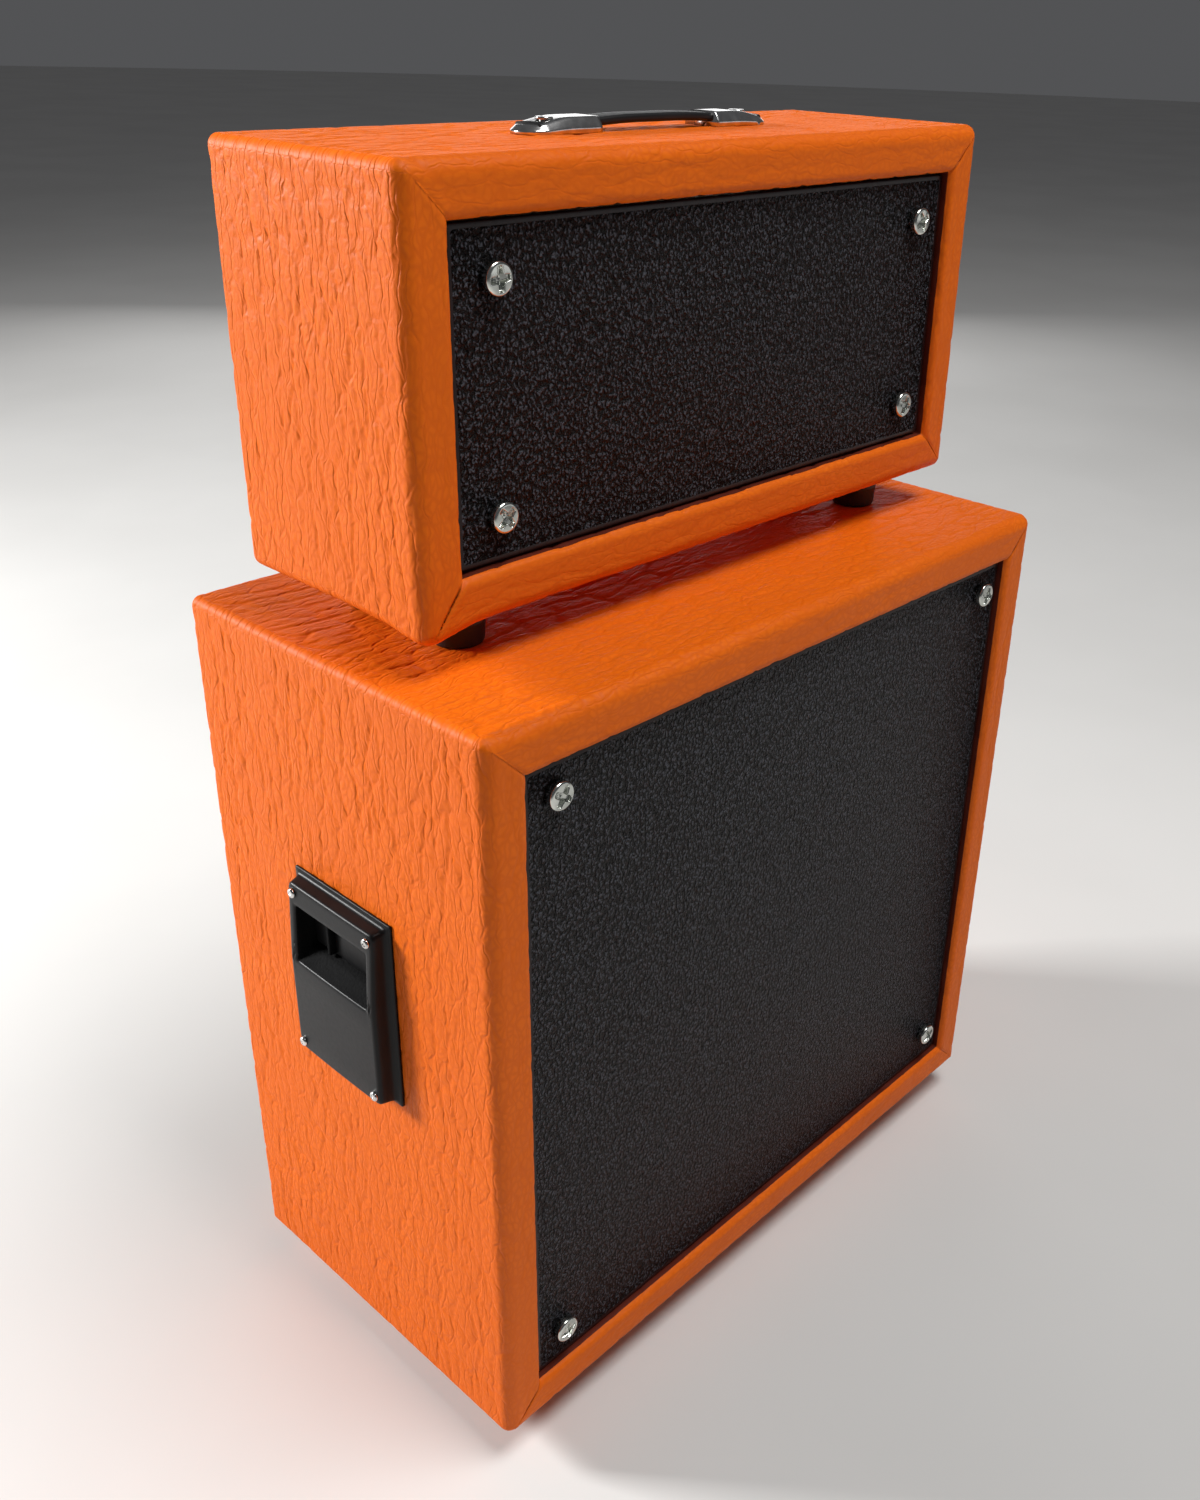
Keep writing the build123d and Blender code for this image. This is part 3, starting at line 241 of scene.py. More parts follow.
def rounded_ring(half_x, half_y, radius, arc, side):
    """Points round a rounded rectangle, anticlockwise, always in the same number and order."""
    radius = max(min(radius, half_x, half_y), 1e-6)
    corners = []
    for turn, (sx, sy) in enumerate(((1, 1), (-1, 1), (-1, -1), (1, -1))):
        x, y = sx * (half_x - radius), sy * (half_y - radius)
        angles = [math.pi / 2 * (turn + k / arc) for k in range(arc + 1)]
        corners.append([(x + radius * math.cos(a), y + radius * math.sin(a)) for a in angles])
    ring = []
    for corner, after in zip(corners, corners[1:] + corners[:1]):
        ends = tuple(zip(corner[-1], after[0]))
        ring += corner + [tuple(p + (q - p) * k / side for p, q in ends) for k in range(1, side)]
    return ring


def loft(rings, cap_end=True):
    """Points and faces of a skin through rings of equal length."""
    count = len(rings[0])
    points = [p for ring in rings for p in ring]
    faces = []
    for r in range(len(rings) - 1):
        for k in range(count):
            n = (k + 1) % count
            faces.append((r * count + k, r * count + n, (r + 1) * count + n, (r + 1) * count + k))
    faces.append(tuple(reversed(range(count))))
    if cap_end:
        faces.append(tuple((len(rings) - 1) * count + k for k in range(count)))
    return points, faces


def turned(profile, segments):
    """Rings of a turned piece about Z, from (radius, height) pairs."""
    turns = [2 * math.pi * k / segments for k in range(segments)]
    return [[(r * math.cos(turn), r * math.sin(turn), z) for turn in turns] for r, z in profile]


def aimed(points, place, up, across):
    """Local points carried to a place, with local Z along up and local X along across."""
    z = Vector(up).normalized()
    x = Vector(across).normalized()
    y = z.cross(x)
    turn = Matrix((x, y, z)).transposed()
    place = Vector(place)
    return [place + turn @ Vector(p) for p in points]


def joined(groups):
    """One list of points and faces from several."""
    points, faces = [], []
    for some_points, some_faces in groups:
        start = len(points)
        points.extend(some_points)
        faces.extend(tuple(i + start for i in face) for face in some_faces)
    return points, faces


# ---- materials
def make_leatherette():
    """Orange vinyl: its fine web of lines follows the wrap, is fainter on the front, and is painted
    slightly darker in its creases as shade.
    """
    s = Shader("orange_leatherette", Specular_IOR_Level=0.20)
    wrap = s.node("UVMap", uv_map="wrap").outputs[0]
    in_mm = s.mapped(wrap, PER_METRE)
    wander = s.noise(in_mm, 0.20, 2.0, flat=True, output="Color")
    bent = s.shifted(in_mm, wander, 2.4)
    line = s.ramp(s.cells(bent, (0.10, 0.44, 1.0), "DISTANCE_TO_EDGE"), 0.0, 0.11)
    web = s.ramp(s.cells(bent, (0.50, 0.86, 1.0), "DISTANCE_TO_EDGE"), 0.0, 0.34)
    fine = s.noise(in_mm, 1.6, 2.0, 0.55, flat=True)
    height = s.math("MULTIPLY_ADD", line, 0.60, s.math("MULTIPLY", web, 0.26))
    height = s.math("MULTIPLY_ADD", fine, 0.34, height)
    past_front = s.ramp(s.node("SeparateXYZ", {0: in_mm}).outputs[1], 8.0, 13.0, 0.30, 1.0)
    height = s.math("MULTIPLY", height, past_front)
    shade = s.noise(in_mm, 0.035, 2.0, flat=True)
    colour = s.mix(s.ramp(shade, 0.35, 0.65), rgb(0.80, 0.140, 0.0008), rgb(0.84, 0.152, 0.0010))
    # painted shade: the creases are coloured a little darker than the hide around them
    colour = s.mix(s.math("MULTIPLY", line, web), rgb(0.77, 0.128, 0.0006), colour)
    rough = s.math("MULTIPLY_ADD", fine, 0.12, 0.48)
    return s.use(Base_Color=colour, Roughness=rough, Normal=s.bump(height, 0.00022, 0.6))


def make_haircell():
    """Black sheet with a moulded pebble grain, laid out across X and Z; the pebbles' crests are
    painted a lighter bluish grey as a highlight.
    """
    s = Shader("black_haircell", Specular_IOR_Level=0.14)
    at = s.mapped(s.place(), PER_METRE, (math.radians(90), 0, 0))
    bent = s.shifted(at, s.noise(at, 0.8, 1.0, flat=True, output="Color"), 1.1)
    pebble = s.cells(bent, (1.42, 0.95, 1.0))
    fine = s.noise(at, 2.4, 2.0, 0.6, flat=True)
    height = s.math("MULTIPLY_ADD", pebble, -1.0, s.math("MULTIPLY", fine, 0.9))
    # painted highlight: the crests take a lighter bluish grey for the glints that light gives the
    # grain
    hollow, crest_painted_highlight = rgb(0.0007, 0.0007, 0.0010), rgb(0.088, 0.092, 0.110)
    colour = s.mix(s.ramp(height, 0.08, 0.36), hollow, crest_painted_highlight)
    rough = s.math("MULTIPLY_ADD", fine, 0.12, 0.22)
    return s.use(Base_Color=colour, Roughness=rough, Normal=s.bump(height, 0.00085, 1.0))


def make_metal(name, colour, rough, scratch=0.35, streak=(1, 1, 1)):
    """Metal with darker blotches, and fine marks that change its roughness."""
    s = Shader(name, Metallic=1.0)
    at = s.mapped(s.place(), tuple(p * k for p, k in zip(PER_METRE, streak)))
    fine = s.noise(at, 2.2, 4.0, 0.65)
    blotch = s.noise(at, 0.35, 2.0)
    shade = s.mix(s.ramp(blotch, 0.35, 0.7), scaled(colour, 0.72), colour)
    level = s.math("MULTIPLY_ADD", fine, scratch * rough, rough * (1 - scratch / 2))
    return s.use(Base_Color=shade, Roughness=level, Normal=s.bump(fine, 0.00002, 0.4))


def make_plastic(name, colour, rough, grain, depth, shine=0.5):
    """Plastic, rubber, paint or paper: a fine grain, and slow changes of shade."""
    s = Shader(name, Specular_IOR_Level=shine)
    at = s.mapped(s.place(), PER_METRE)
    fine = s.noise(at, grain, 3.0, 0.6)
    wide = s.noise(at, 0.08, 2.0)
    shade = s.mix(s.ramp(wide, 0.35, 0.65), colour, scaled(colour, 1.25, 0.002))
    level = s.math("MULTIPLY_ADD", fine, 0.18, rough - 0.09)
    return s.use(Base_Color=shade, Roughness=level, Normal=s.bump(fine, depth, 0.6))


def make_wood(name, light, dark):
    """Sheet of wood with its grain and pores along X."""
    s = Shader(name, Specular_IOR_Level=0.3)
    stretch = (60.0, 900.0, 900.0)
    at = s.mapped(s.place(), stretch)
    grain = s.noise(at, 0.55, 5.0, 0.65)
    pore = s.noise(s.mapped(s.place(), tuple(4 * k for k in stretch)), 0.9, 2.0, 0.5)
    shade = s.mix(s.ramp(grain, 0.3, 0.72), light, dark)
    shade = s.mix(s.ramp(pore, 0.62, 0.75, 0.0, 0.5), shade, scaled(dark, 0.5))
    height = s.math("MULTIPLY_ADD", pore, -0.6, grain)
    rough = s.math("MULTIPLY_ADD", grain, 0.2, 0.55)
    return s.use(Base_Color=shade, Roughness=rough, Normal=s.bump(height, 0.00006, 0.7))


leatherette = make_leatherette()
haircell = make_haircell()
zinc = make_metal("zinc_plate", rgb(0.74, 0.76, 0.71), 0.17)
nickel = make_metal("bright_nickel", rgb(0.80, 0.79, 0.77), 0.16)
chrome = make_metal("bright_chrome", rgb(0.78, 0.77, 0.76), 0.18, 0.6)
steel = make_metal("plated_steel", rgb(0.55, 0.54, 0.50), 0.34)
aluminium = make_metal("sheet_aluminium", rgb(0.74, 0.75, 0.77), 0.36, 0.5, (0.1, 1, 1))
ferrite = make_plastic("ferrite", rgb(0.045, 0.045, 0.048), 0.62, 2.0, 0.00008)
gloss_black = make_plastic(
    "gloss_black_plastic", rgb(0.0045, 0.0045, 0.005), 0.36, 1.1, 0.00002, shine=0.18
)
pocket_black = make_plastic(
    "dull_black_plastic", rgb(0.003, 0.003, 0.0032), 0.75, 2.0, 0.00025, shine=0.08
)
# painted shade: dark maroon leatherette for the inner roll into a mouth, where the fold lies in
# shade
fold_painted_shade = make_plastic(
    "painted_shade_fold_leather", rgb(0.085, 0.011, 0.004), 0.6, 1.5, 0.00005, shine=0.15
)
# painted reflection: the panel's smooth glossy edge is tinted maroon for the orange bars reflected
# in it
panel_edge_painted_reflection = make_plastic(
    "smooth_edge_painted_reflection", rgb(0.012, 0.004, 0.004), 0.3, 1.5, 0.00002, shine=0.3
)
white_ink = make_plastic("white_ink", rgb(0.62, 0.62, 0.60), 0.5, 3.0, 0.00001)
moulded_black = make_plastic("moulded_black_plastic", rgb(0.010, 0.010, 0.011), 0.42, 2.5, 0.00004)
rubber = make_plastic("black_rubber", rgb(0.012, 0.009, 0.009), 0.46, 1.6, 0.00006, shine=0.5)
powder_coat = make_plastic("black_powder_coat", rgb(0.010, 0.010, 0.011), 0.48, 3.0, 0.00005)
black_oxide = make_metal("black_oxide", rgb(0.055, 0.055, 0.06), 0.4)
plywood = make_wood("birch_plywood", rgb(0.62, 0.43, 0.24), rgb(0.40, 0.25, 0.12))
black_wood = make_wood("black_stained_plywood", rgb(0.020, 0.019, 0.018), rgb(0.008, 0.008, 0.008))
paper = make_plastic("cone_paper", rgb(0.030, 0.027, 0.024), 0.85, 1.8, 0.00012)
cloth = make_plastic("doped_cloth", rgb(0.16, 0.085, 0.03), 0.7, 3.0, 0.0001)
copper = make_metal("copper_wire", rgb(0.72, 0.30, 0.13), 0.3)
laminate = make_plastic("board_laminate", rgb(0.010, 0.10, 0.035), 0.35, 2.0, 0.00002)
red_lens = make_plastic("red_lens", rgb(0.55, 0.012, 0.006), 0.12, 0.6, 0.00001)
battery_grey = make_metal("battery_case", rgb(0.20, 0.21, 0.23), 0.32)


# ---- coverings
# Both coverings share these sizes, in mm.
RIM = 8.5  # width of the bar round a front panel
SHELL = 7.75  # how far the rear edge turns in
SKIN = 0.72  # how far the hidden inner face lies under the outside
FACE_RADIUS, INNER_RADIUS = 2.75, 1.5  # the front bar's outer and inner edge
REAR_RADIUS = 0.7
ACROSS_PITCH, ALONG_PITCH, REAR_PITCH = 0.40, 1.0, 1.4  # the grid's spacing
MOUTH_STEPS, CORNER_STEPS = 5, 8
CORNER_GAPS = (0.0, 0.5, 1.2)  # columns this far from a rounded corner
PAINTED_SHADE_ROWS = 6  # rows of faces inside the mouth, painted dark maroon as the fold's shade
CALM_ROWS = 3  # points at the back of the mouth, where the relief dies out
NEAR, FAR = 0.01, 9.0  # as good as equal, and as good as out of reach
INWARD = ((0, 1), (-1, 0), (0, -1), (1, 0))  # from the bottom, right, top and left side

# A mitred seam's half width, its depth, and the height of the pucker beside it.
Seam = namedtuple("Seam", "opening depth pucker")
PUCKER_AT, PUCKER_WIDTH = 1.1, 0.8
# The lower left front corner may hang down: how far, which way and over what reach, and how
# far its hanging part rounds in along X and Y.
SAG, SAG_WAY, SAG_REACH, SAG_ROUND = 2.3, (0.12, 0.10, -1.0), 8.0, (1.5, 1.1)
# A square hole in one side: its ends across the wrap, and its ends along that side.
Pocket = namedtuple("Pocket", "side front rear start end")
# Points across the skin, at a length along a side or a share of the turn of the corner after it.
Column = namedtuple("Column", "on_side side at span along")


def arc_points(centre, radius, start, end, count):
    """Points on an arc in (inset, y), between two angles in degrees."""
    made = []
    for k in range(count + 1):
        angle = math.radians(start + (end - start) * k / count)
        made.append((centre[0] + radius * math.cos(angle), centre[1] + radius * math.sin(angle)))
    return made


def outward_normals(place, sample):
    """Unit normals of a closed grid of points, facing out at the sampled row."""
    along = np.roll(place, -1, 0) - np.roll(place, 1, 0)
    across = np.zeros_like(place)
    across[:, 1:-1] = place[:, 2:] - place[:, :-2]
    across[:, 0] = place[:, 1] - place[:, 0]
    across[:, -1] = place[:, -1] - place[:, -2]
    normal = np.cross(along, across)
    normal /= np.maximum(np.linalg.norm(normal, axis=2, keepdims=True), 1e-9)
    outward = np.mean((normal * (place - place.mean((0, 1))))[:, sample].sum(-1))
    return -normal if outward < 0 else normal


class Covering:
    """The leatherette skin of a box, in mm: a grid of columns round it by a profile across it."""

    def __init__(self, covers, panel, pockets, radii):
        self.low, self.high = (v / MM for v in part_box(covers))
        self.front, self.rear = self.low.y, self.high.y
        self.mouth_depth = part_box(panel)[1].y / MM - self.front
        self.pockets, self.radii = pockets, radii
        self.cuts = sorted({y for pocket in pockets for y in (pocket.front, pocket.rear)})
        left, right, bottom, top = self.low.x, self.high.x, self.low.z, self.high.z
        self.corners = [(left, bottom), (right, bottom), (right, top), (left, top)]

        outside = self.outside()
        self.outer_count = len(outside)
        profile = outside + self.inside()
        self.insets = np.array([inset for inset, _ in profile])
        self.ys = np.array([y for _, y in profile])
        strides = np.hypot(np.diff(self.insets), np.diff(self.ys))
        self.walk = np.concatenate([[0], np.cumsum(strides)])
        self.columns, self.length = self.round_columns()
        self.lay_out()

    def outside(self):
        """Profile (inset, y) from the mouth's back edge, over the front bar, to the rear edge."""
        front, rear, mouth = self.front, self.rear, self.mouth_depth
        stride = (mouth - INNER_RADIUS) / MOUTH_STEPS
        points = [(RIM, front + mouth - k * stride) for k in range(MOUTH_STEPS)]
        points += arc_points((RIM - INNER_RADIUS, front + INNER_RADIUS), INNER_RADIUS, 0, -90, 6)
        bar = steps(RIM - INNER_RADIUS, FACE_RADIUS, ACROSS_PITCH)[1:]
        points += [(inset, front) for inset in bar]
        points += arc_points((FACE_RADIUS, front + FACE_RADIUS), FACE_RADIUS, -90, -180, 9)
        marks = [front + FACE_RADIUS, *self.cuts, rear - REAR_RADIUS]
        for a, b in zip(marks, marks[1:]):
            first = 0 if a in self.cuts else 1
            points += [(0.0, y) for y in steps(a, b, ACROSS_PITCH)[first:]]
        points += arc_points((REAR_RADIUS, rear - REAR_RADIUS), REAR_RADIUS, 180, 90, 4)
        points += [(inset, rear) for inset in steps(REAR_RADIUS, SHELL, REAR_PITCH)[1:]]
        return points + [(SHELL, rear)]

    def inside(self):
        """Profile (inset, y) of the hidden inner face, from the rear edge back to the mouth."""
        front, rear = self.front, self.rear
        points = [(SHELL, rear - SKIN), (SKIN, rear - SKIN)]
        points += [(SKIN, y) for y in reversed(self.cuts)]
        points += [(SKIN, front + 2.6), (1.5, front + 1.1), (2.6, front + SKIN)]
        return points + [(RIM - SKIN, front + SKIN), (RIM - SKIN, front + self.mouth_depth)]

    def round_columns(self):
        """Columns along the bottom, right, top and left side, each with its corner after it."""
        columns, length = [], 0.0
        for side in range(4):
            (ax, az), (bx, bz) = self.corners[side], self.corners[(side + 1) % 4]
            span = abs(bx - ax) + abs(bz - az)
            first, last = self.radii[side], self.radii[(side + 1) % 4]
            marks = [first + gap for gap in CORNER_GAPS]
            for pocket in self.pockets:
                if pocket.side == side:
                    marks += [pocket.start, pocket.end]
            marks += [span - last - gap for gap in reversed(CORNER_GAPS)]
            places = [at for a, b in zip(marks, marks[1:]) for at in steps(a, b, ALONG_PITCH)]
            for at in places + marks[-1:]:
                columns.append(Column(True, side, at, span, length + at))
            for k in range(1, CORNER_STEPS):
                turn = k / CORNER_STEPS
                along = length + span + (turn - 0.5) * last
                columns.append(Column(False, side, turn, span, along))
            length += span
        return columns, length

    def column_places(self, column):
        """One column's x, z, length along the wrap, gap to the nearest seam, and that seam."""
        insets, span = self.insets, column.span
        side, after = column.side, (column.side + 1) % 4
        (ax, az), (bx, bz) = self.corners[side], self.corners[after]
        way_x, way_z = (bx - ax) / span, (bz - az) / span
        in_x, in_z = INWARD[side]
        first, last = self.radii[side], self.radii[after]
        radius = np.maximum(last - insets, 0.0)
        keep = insets + radius
        if not column.on_side:
            angle = math.radians(90 * (side - 1 + column.at))
            x = bx + (in_x - way_x) * keep + radius * math.cos(angle)
            z = bz + (in_z - way_z) * keep + radius * math.sin(angle)
            return x, z, column.along, 0.0, after
        keep_first = np.maximum(first, insets)
        share = (column.at - first) / (span - first - last)
        run = keep_first + share * (span - keep_first - keep)
        x = ax + way_x * run + in_x * insets
        z = az + way_z * run + in_z * insets
        gap = np.minimum(run - insets, span - insets - run)
        return x, z, column.along - column.at + run, gap, np.where(run < span / 2, side, after)

    def lay_out(self):
        """The grid's points, and where each lies on the wrap."""
        shape = (len(self.columns), len(self.insets))
        self.place = np.zeros((*shape, 3))
        self.place[..., 1] = self.ys
        self.along, self.from_seam = np.zeros(shape), np.zeros(shape)
        self.seam_of = np.zeros(shape, int)
        for j, column in enumerate(self.columns):
            x, z, self.along[j], self.from_seam[j], self.seam_of[j] = self.column_places(column)
            self.place[j, :, 0], self.place[j, :, 2] = x, z

    def emboss(self, seams, seed):
        """Raise the hide's relief and press in the mitred seams of the front corners."""
        insets, ys, from_seam = self.insets, self.ys, self.from_seam
        across = np.broadcast_to(self.walk, self.along.shape)
        height = hide_relief(self.along, across, seed)
        # The relief is half as high on the front bar, and fades towards edges and corners.
        on_face = smooth_step(RIM + 0.3, RIM - 0.9, insets)
        on_face *= smooth_step(self.front + 2.2, self.front + 0.2, ys)
        on_face[self.outer_count:] = 0
        height *= 1 - 0.5 * on_face
        on_outside = insets < 0.05
        from_edge = np.where(on_outside, np.minimum(ys - self.front, self.rear - ys), FAR)
        away = smooth_step(0.5, 6.0, from_edge) * (1 - on_face) + on_face
        height *= 0.35 + 0.65 * away
        height *= 0.3 + 0.7 * smooth_step(0.5, 4.0, from_seam)
        # The seams fade where the front bar rounds over into the outside.
        seam_strength = on_face * (0.25 + 0.75 * smooth_step(2.5, 6.5, insets))
        for corner, seam in enumerate(seams):
            mine = (self.seam_of == corner) * seam_strength
            pucker = np.exp(-(((from_seam - PUCKER_AT) / PUCKER_WIDTH) ** 2))
            height -= mine * seam.depth * np.exp(-((from_seam / seam.opening) ** 2))
            height += mine * seam.pucker * pucker
        height[:, self.outer_count:] = 0
        height[:, :CALM_ROWS] *= 0.3
        normal = outward_normals(self.place, self.outer_count // 2)
        self.place += normal * height[..., None]

    def let_sag(self):
        """Push the covering down and round at its lower left front corner."""
        x, z = self.corners[0]
        gap = np.linalg.norm(self.place - np.array([x, self.front, z]), axis=2)
        pull = SAG * np.exp(-((gap / SAG_REACH) ** 2))
        self.place += np.array(SAG_WAY) * pull[..., None]
        below = np.clip((z - self.place[..., 2]) / SAG, 0, 1)
        self.place[..., :2] += np.array(SAG_ROUND) * below[..., None] ** 1.5

    def index(self, j, i):
        return (j % len(self.columns)) * len(self.insets) + i % len(self.insets)

    def opening(self, pocket):
        """The columns, and the outer and inner rows, that a pocket's hole spans."""
        def within(value, low, high):
            return low - NEAR <= value <= high + NEAR

        js = [
            j for j, column in enumerate(self.columns)
            if column.on_side and column.side == pocket.side
            and within(column.at, pocket.start, pocket.end)
        ]
        rows = [i for i, y in enumerate(self.ys) if within(y, pocket.front, pocket.rear)]
        outer = [i for i in rows if i < self.outer_count and self.insets[i] == 0]
        inner = [i for i in rows if i >= self.outer_count and self.insets[i] == SKIN]
        return js, outer, inner

    def walls(self, js, outer, inner):
        """Faces through the skin's thickness round one hole."""
        faces = []
        for j, turn in ((js[0], 1), (js[-1], -1)):
            faces.append(tuple(self.index(j, i) for i in outer + inner)[::turn])
        for a, b, turn in ((outer[0], inner[-1], -1), (outer[-1], inner[0], 1)):
            for j, k in zip(js, js[1:]):
                quad = (self.index(j, a), self.index(k, a), self.index(k, b), self.index(j, b))
                faces.append(quad[::turn])
        return faces

    def skin(self):
        """Faces, their wrap coordinates, and the profile row of each face but the holes' walls."""
        count, depth = len(self.columns), len(self.insets)
        holes = [self.opening(pocket) for pocket in self.pockets]
        dropped = {
            (j, i) for js, outer, inner in holes for j in js[:-1] for i in outer[:-1] + inner[:-1]
        }
        faces, uvs, rows = [], [], []
        for j in range(count):
            wrap = self.along[(j + 1) % count] + (self.length if j == count - 1 else 0)
            for i in range(depth):
                if (j, i) in dropped:
                    continue
                n = (i + 1) % depth
                here = self.walk[i]
                there = self.walk[n] if n else here + 0.5
                corners = ((j, i), (j + 1, i), (j + 1, n), (j, n))
                faces.append(tuple(self.index(*corner) for corner in corners))
                uvs += [(self.along[j, i], here), (wrap[i], here)]
                uvs += [(wrap[n], there), (self.along[j, n], there)]
                rows.append(i)
        for hole in holes:
            walls = self.walls(*hole)
            faces += walls
            uvs += [(0.0, 0.0)] * sum(len(face) for face in walls)
        return faces, uvs, rows


def wrapped_box(name, covers, panel, body, radii, seams, seed, pockets=(), sags=False):
    """A box's leatherette: outside, rounded front, turned-in mouth and rear edge."""
    covering = Covering(covers, panel, pockets, radii)
    covering.emboss(seams, seed)
    if sags:
        covering.let_sag()
    faces, uvs, rows = covering.skin()
    mesh = bpy.data.meshes.new(name)
    mesh.from_pydata((covering.place.reshape(-1, 3) * MM).tolist(), [], faces)
    layer = mesh.uv_layers.new(name="wrap")
    layer.data.foreach_set("uv", (np.array(uvs) * MM).ravel())
    finish_object(name, mesh, body, leatherette, (covers,))
    # painted shade: the rows inside the mouth get the dark maroon leatherette
    mesh.materials.append(fold_painted_shade)
    for polygon, row in zip(mesh.polygons, rows):
        polygon.material_index = int(row < PAINTED_SHADE_ROWS)
    weld = bmesh.new()
    weld.from_mesh(mesh)
    bmesh.ops.remove_doubles(weld, verts=weld.verts, dist=0.002 * MM)
    bmesh.ops.recalc_face_normals(weld, faces=weld.faces)
    weld.to_mesh(mesh)
    weld.free()


def pocket_cuts():
    """Where the cup handles sink into the sides, from the record's own pockets."""
    low, high = (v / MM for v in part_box("cab_covering"))
    margin = 2.0
    found = []
    for opening in record["physics"]["openings"]:
        if not opening["name"].endswith("cup_pocket"):
            continue
        a, b = (np.array(corner) / MM for corner in opening["box_m"])
        y0, y1 = a[1] - margin, b[1] + margin
        z0, z1 = a[2] - margin, b[2] + margin
        if opening["name"].startswith("right"):
            found.append(Pocket(1, y0, y1, z0 - low.z, z1 - low.z))
        else:
            found.append(Pocket(3, y0, y1, high.z - z1, high.z - z0))
    return found


wrapped_box(
    "cab_leatherette", "cab_covering", "cab_front_panel", "cabinet", radii=(1.75,) * 4,
    seams=(
        Seam(0.16, 0.30, 0.05), Seam(0.14, 0.25, 0.04),
        Seam(0.14, 0.28, 0.05), Seam(0.13, 0.12, 0.09),
    ),
    seed=11, pockets=pocket_cuts(),
)
wrapped_box(
    "head_leatherette", "head_covering", "head_front_panel", "head", radii=(2.4, 2.0, 1.9, 1.9),
    seams=(
        Seam(0.30, 0.75, 0.16), Seam(0.14, 0.25, 0.05),
        Seam(0.14, 0.25, 0.05), Seam(0.12, 0.05, 0.12),
    ),
    seed=47, sags=True,
)


# ---- front panels
# Round a panel's edge: how far in, in mm, and how far behind the face; the first is the back.
PANEL_EDGE = ((0.0, None), (0.0, 0.30), (0.08, 0.09), (0.30, 0.0), (0.95, -0.02))
PANEL_SHARES = (0.97, 0.9, 0.8, 0.65, 0.5, 0.35, 0.2, 0.08)
PANEL_CORNER, PANEL_BOW = 0.7 * MM, 0.12 * MM


def grained_panel(name, node, body):
    """A grained sheet with softened edges and a face that bows out very slightly."""
    low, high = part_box(node)
    centre, half = (low + high) / 2, (high - low) / 2
    thick = high.y - low.y
    rings = []
    for inset, back in PANEL_EDGE:
        ring = rounded_ring(half.x - inset * MM, half.z - inset * MM, PANEL_CORNER, 4, 24)
        y = low.y + (thick if back is None else back * MM)
        rings.append([(centre.x + x, y, centre.z + z) for x, z in ring])
    edge = [(x - centre.x, y, z - centre.z) for x, y, z in rings[-1]]
    for share in PANEL_SHARES:
        bow = PANEL_BOW * (1 - share ** 2)
        rings.append([(centre.x + x * share, y - bow, centre.z + z * share) for x, y, z in edge])
    points, faces = loft(rings)
    panel = add_object(name, points, faces, body, haircell, (node,), "black_grained_panel")
    # painted reflection: the edge rings get the maroon-tinted glossy material
    panel.data.materials.append(panel_edge_painted_reflection)
    edge_points = len(PANEL_EDGE) * len(edge)
    for polygon in panel.data.polygons:
        polygon.material_index = int(max(polygon.vertices) < edge_points)


grained_panel("cab_front_grained_panel", "cab_front_panel", "cabinet")
grained_panel("head_front_grained_panel", "head_front_panel", "head")


# ---- screws
def recess_depth(x, y, arm, width, sink):
    """Depth of a cross recess at a point: tapered arms that grow shallower outwards."""
    depth = 0.0
    for along, across in ((abs(x), abs(y)), (abs(y), abs(x))):
        side = width / 2 * (1 - 0.35 * along / arm)
        inside = min((side - across) / (0.12 * width), (arm - along) / (0.10 * arm), 1.0)
        depth = max(depth, max(inside, 0.0) * sink * (1 - 0.45 * along / arm))
    return depth


def cross_head(radius, height, edge, arm, width, sink, rings=26, segments=96):
    """A pan head with a cross recess, from the underside up, with its underside at Z = 0."""
    profile = [(radius * 0.5, 0.0), (radius * 0.94, 0.0), (radius, 0.05 * height)]
    edge_rise = 0.8 * edge
    for k in range(6):
        rise = math.sin(math.radians(90) * k / 6)
        drawn_in = edge * (1 - math.cos(math.asin(rise)))
        profile.append((radius - drawn_in, height - edge + edge_rise * rise))
    shape = turned(profile, segments)
    flat_radius, crown = radius - edge, height - edge + edge_rise
    for k in range(rings):
        share = 1 - k / rings
        level = crown + (height - crown) * (1 - share ** 2)
        (ring,) = turned([(flat_radius * share, level)], segments)
        shape.append([(x, y, z - recess_depth(x, y, arm, width, sink)) for x, y, z in ring])
    return loft(shape)


def screw_set(name, node, body, material, slot, places, head, turns):
    """Screw heads at places, each (point, outward direction), and each turned its own way."""
    groups = []
    for (place, outward), turn in zip(places, turns):
        points, faces = head
        c, n = math.cos(math.radians(turn)), math.sin(math.radians(turn))
        spun = [(c * x - n * y, n * x + c * y, z) for x, y, z in points]
        side = (1, 0, 0) if abs(outward[0]) < 0.5 else (0, 1, 0)
        groups.append((aimed(spun, place, outward, side), faces))
    points, faces = joined(groups)
    add_object(name, points, faces, body, material, (node,), slot)


PAN_RADIUS = 2.55 * MM
panel_head = cross_head(PAN_RADIUS, 2.05 * MM, 0.60 * MM, 1.92 * MM, 1.45 * MM, 1.35 * MM)
PAN_TURNS = {"cab": (12, 58, 33, 71), "head": (40, 5, 66, 25)}
for prefix, body in (("cab", "cabinet"), ("head", "head")):
    low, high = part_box(prefix + "_front_screws")
    panel_low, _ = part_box(prefix + "_front_panel")
    spots = [
        ((x, panel_low.y - 0.10 * MM, z), (0, -1, 0))
        for x in (low.x + PAN_RADIUS, high.x - PAN_RADIUS)
        for z in (low.z + PAN_RADIUS, high.z - PAN_RADIUS)
    ]
    screw_set(
        prefix + "_pan_heads", prefix + "_front_screws", body, zinc, "zinc_screw",
        spots, panel_head, PAN_TURNS[prefix],
    )


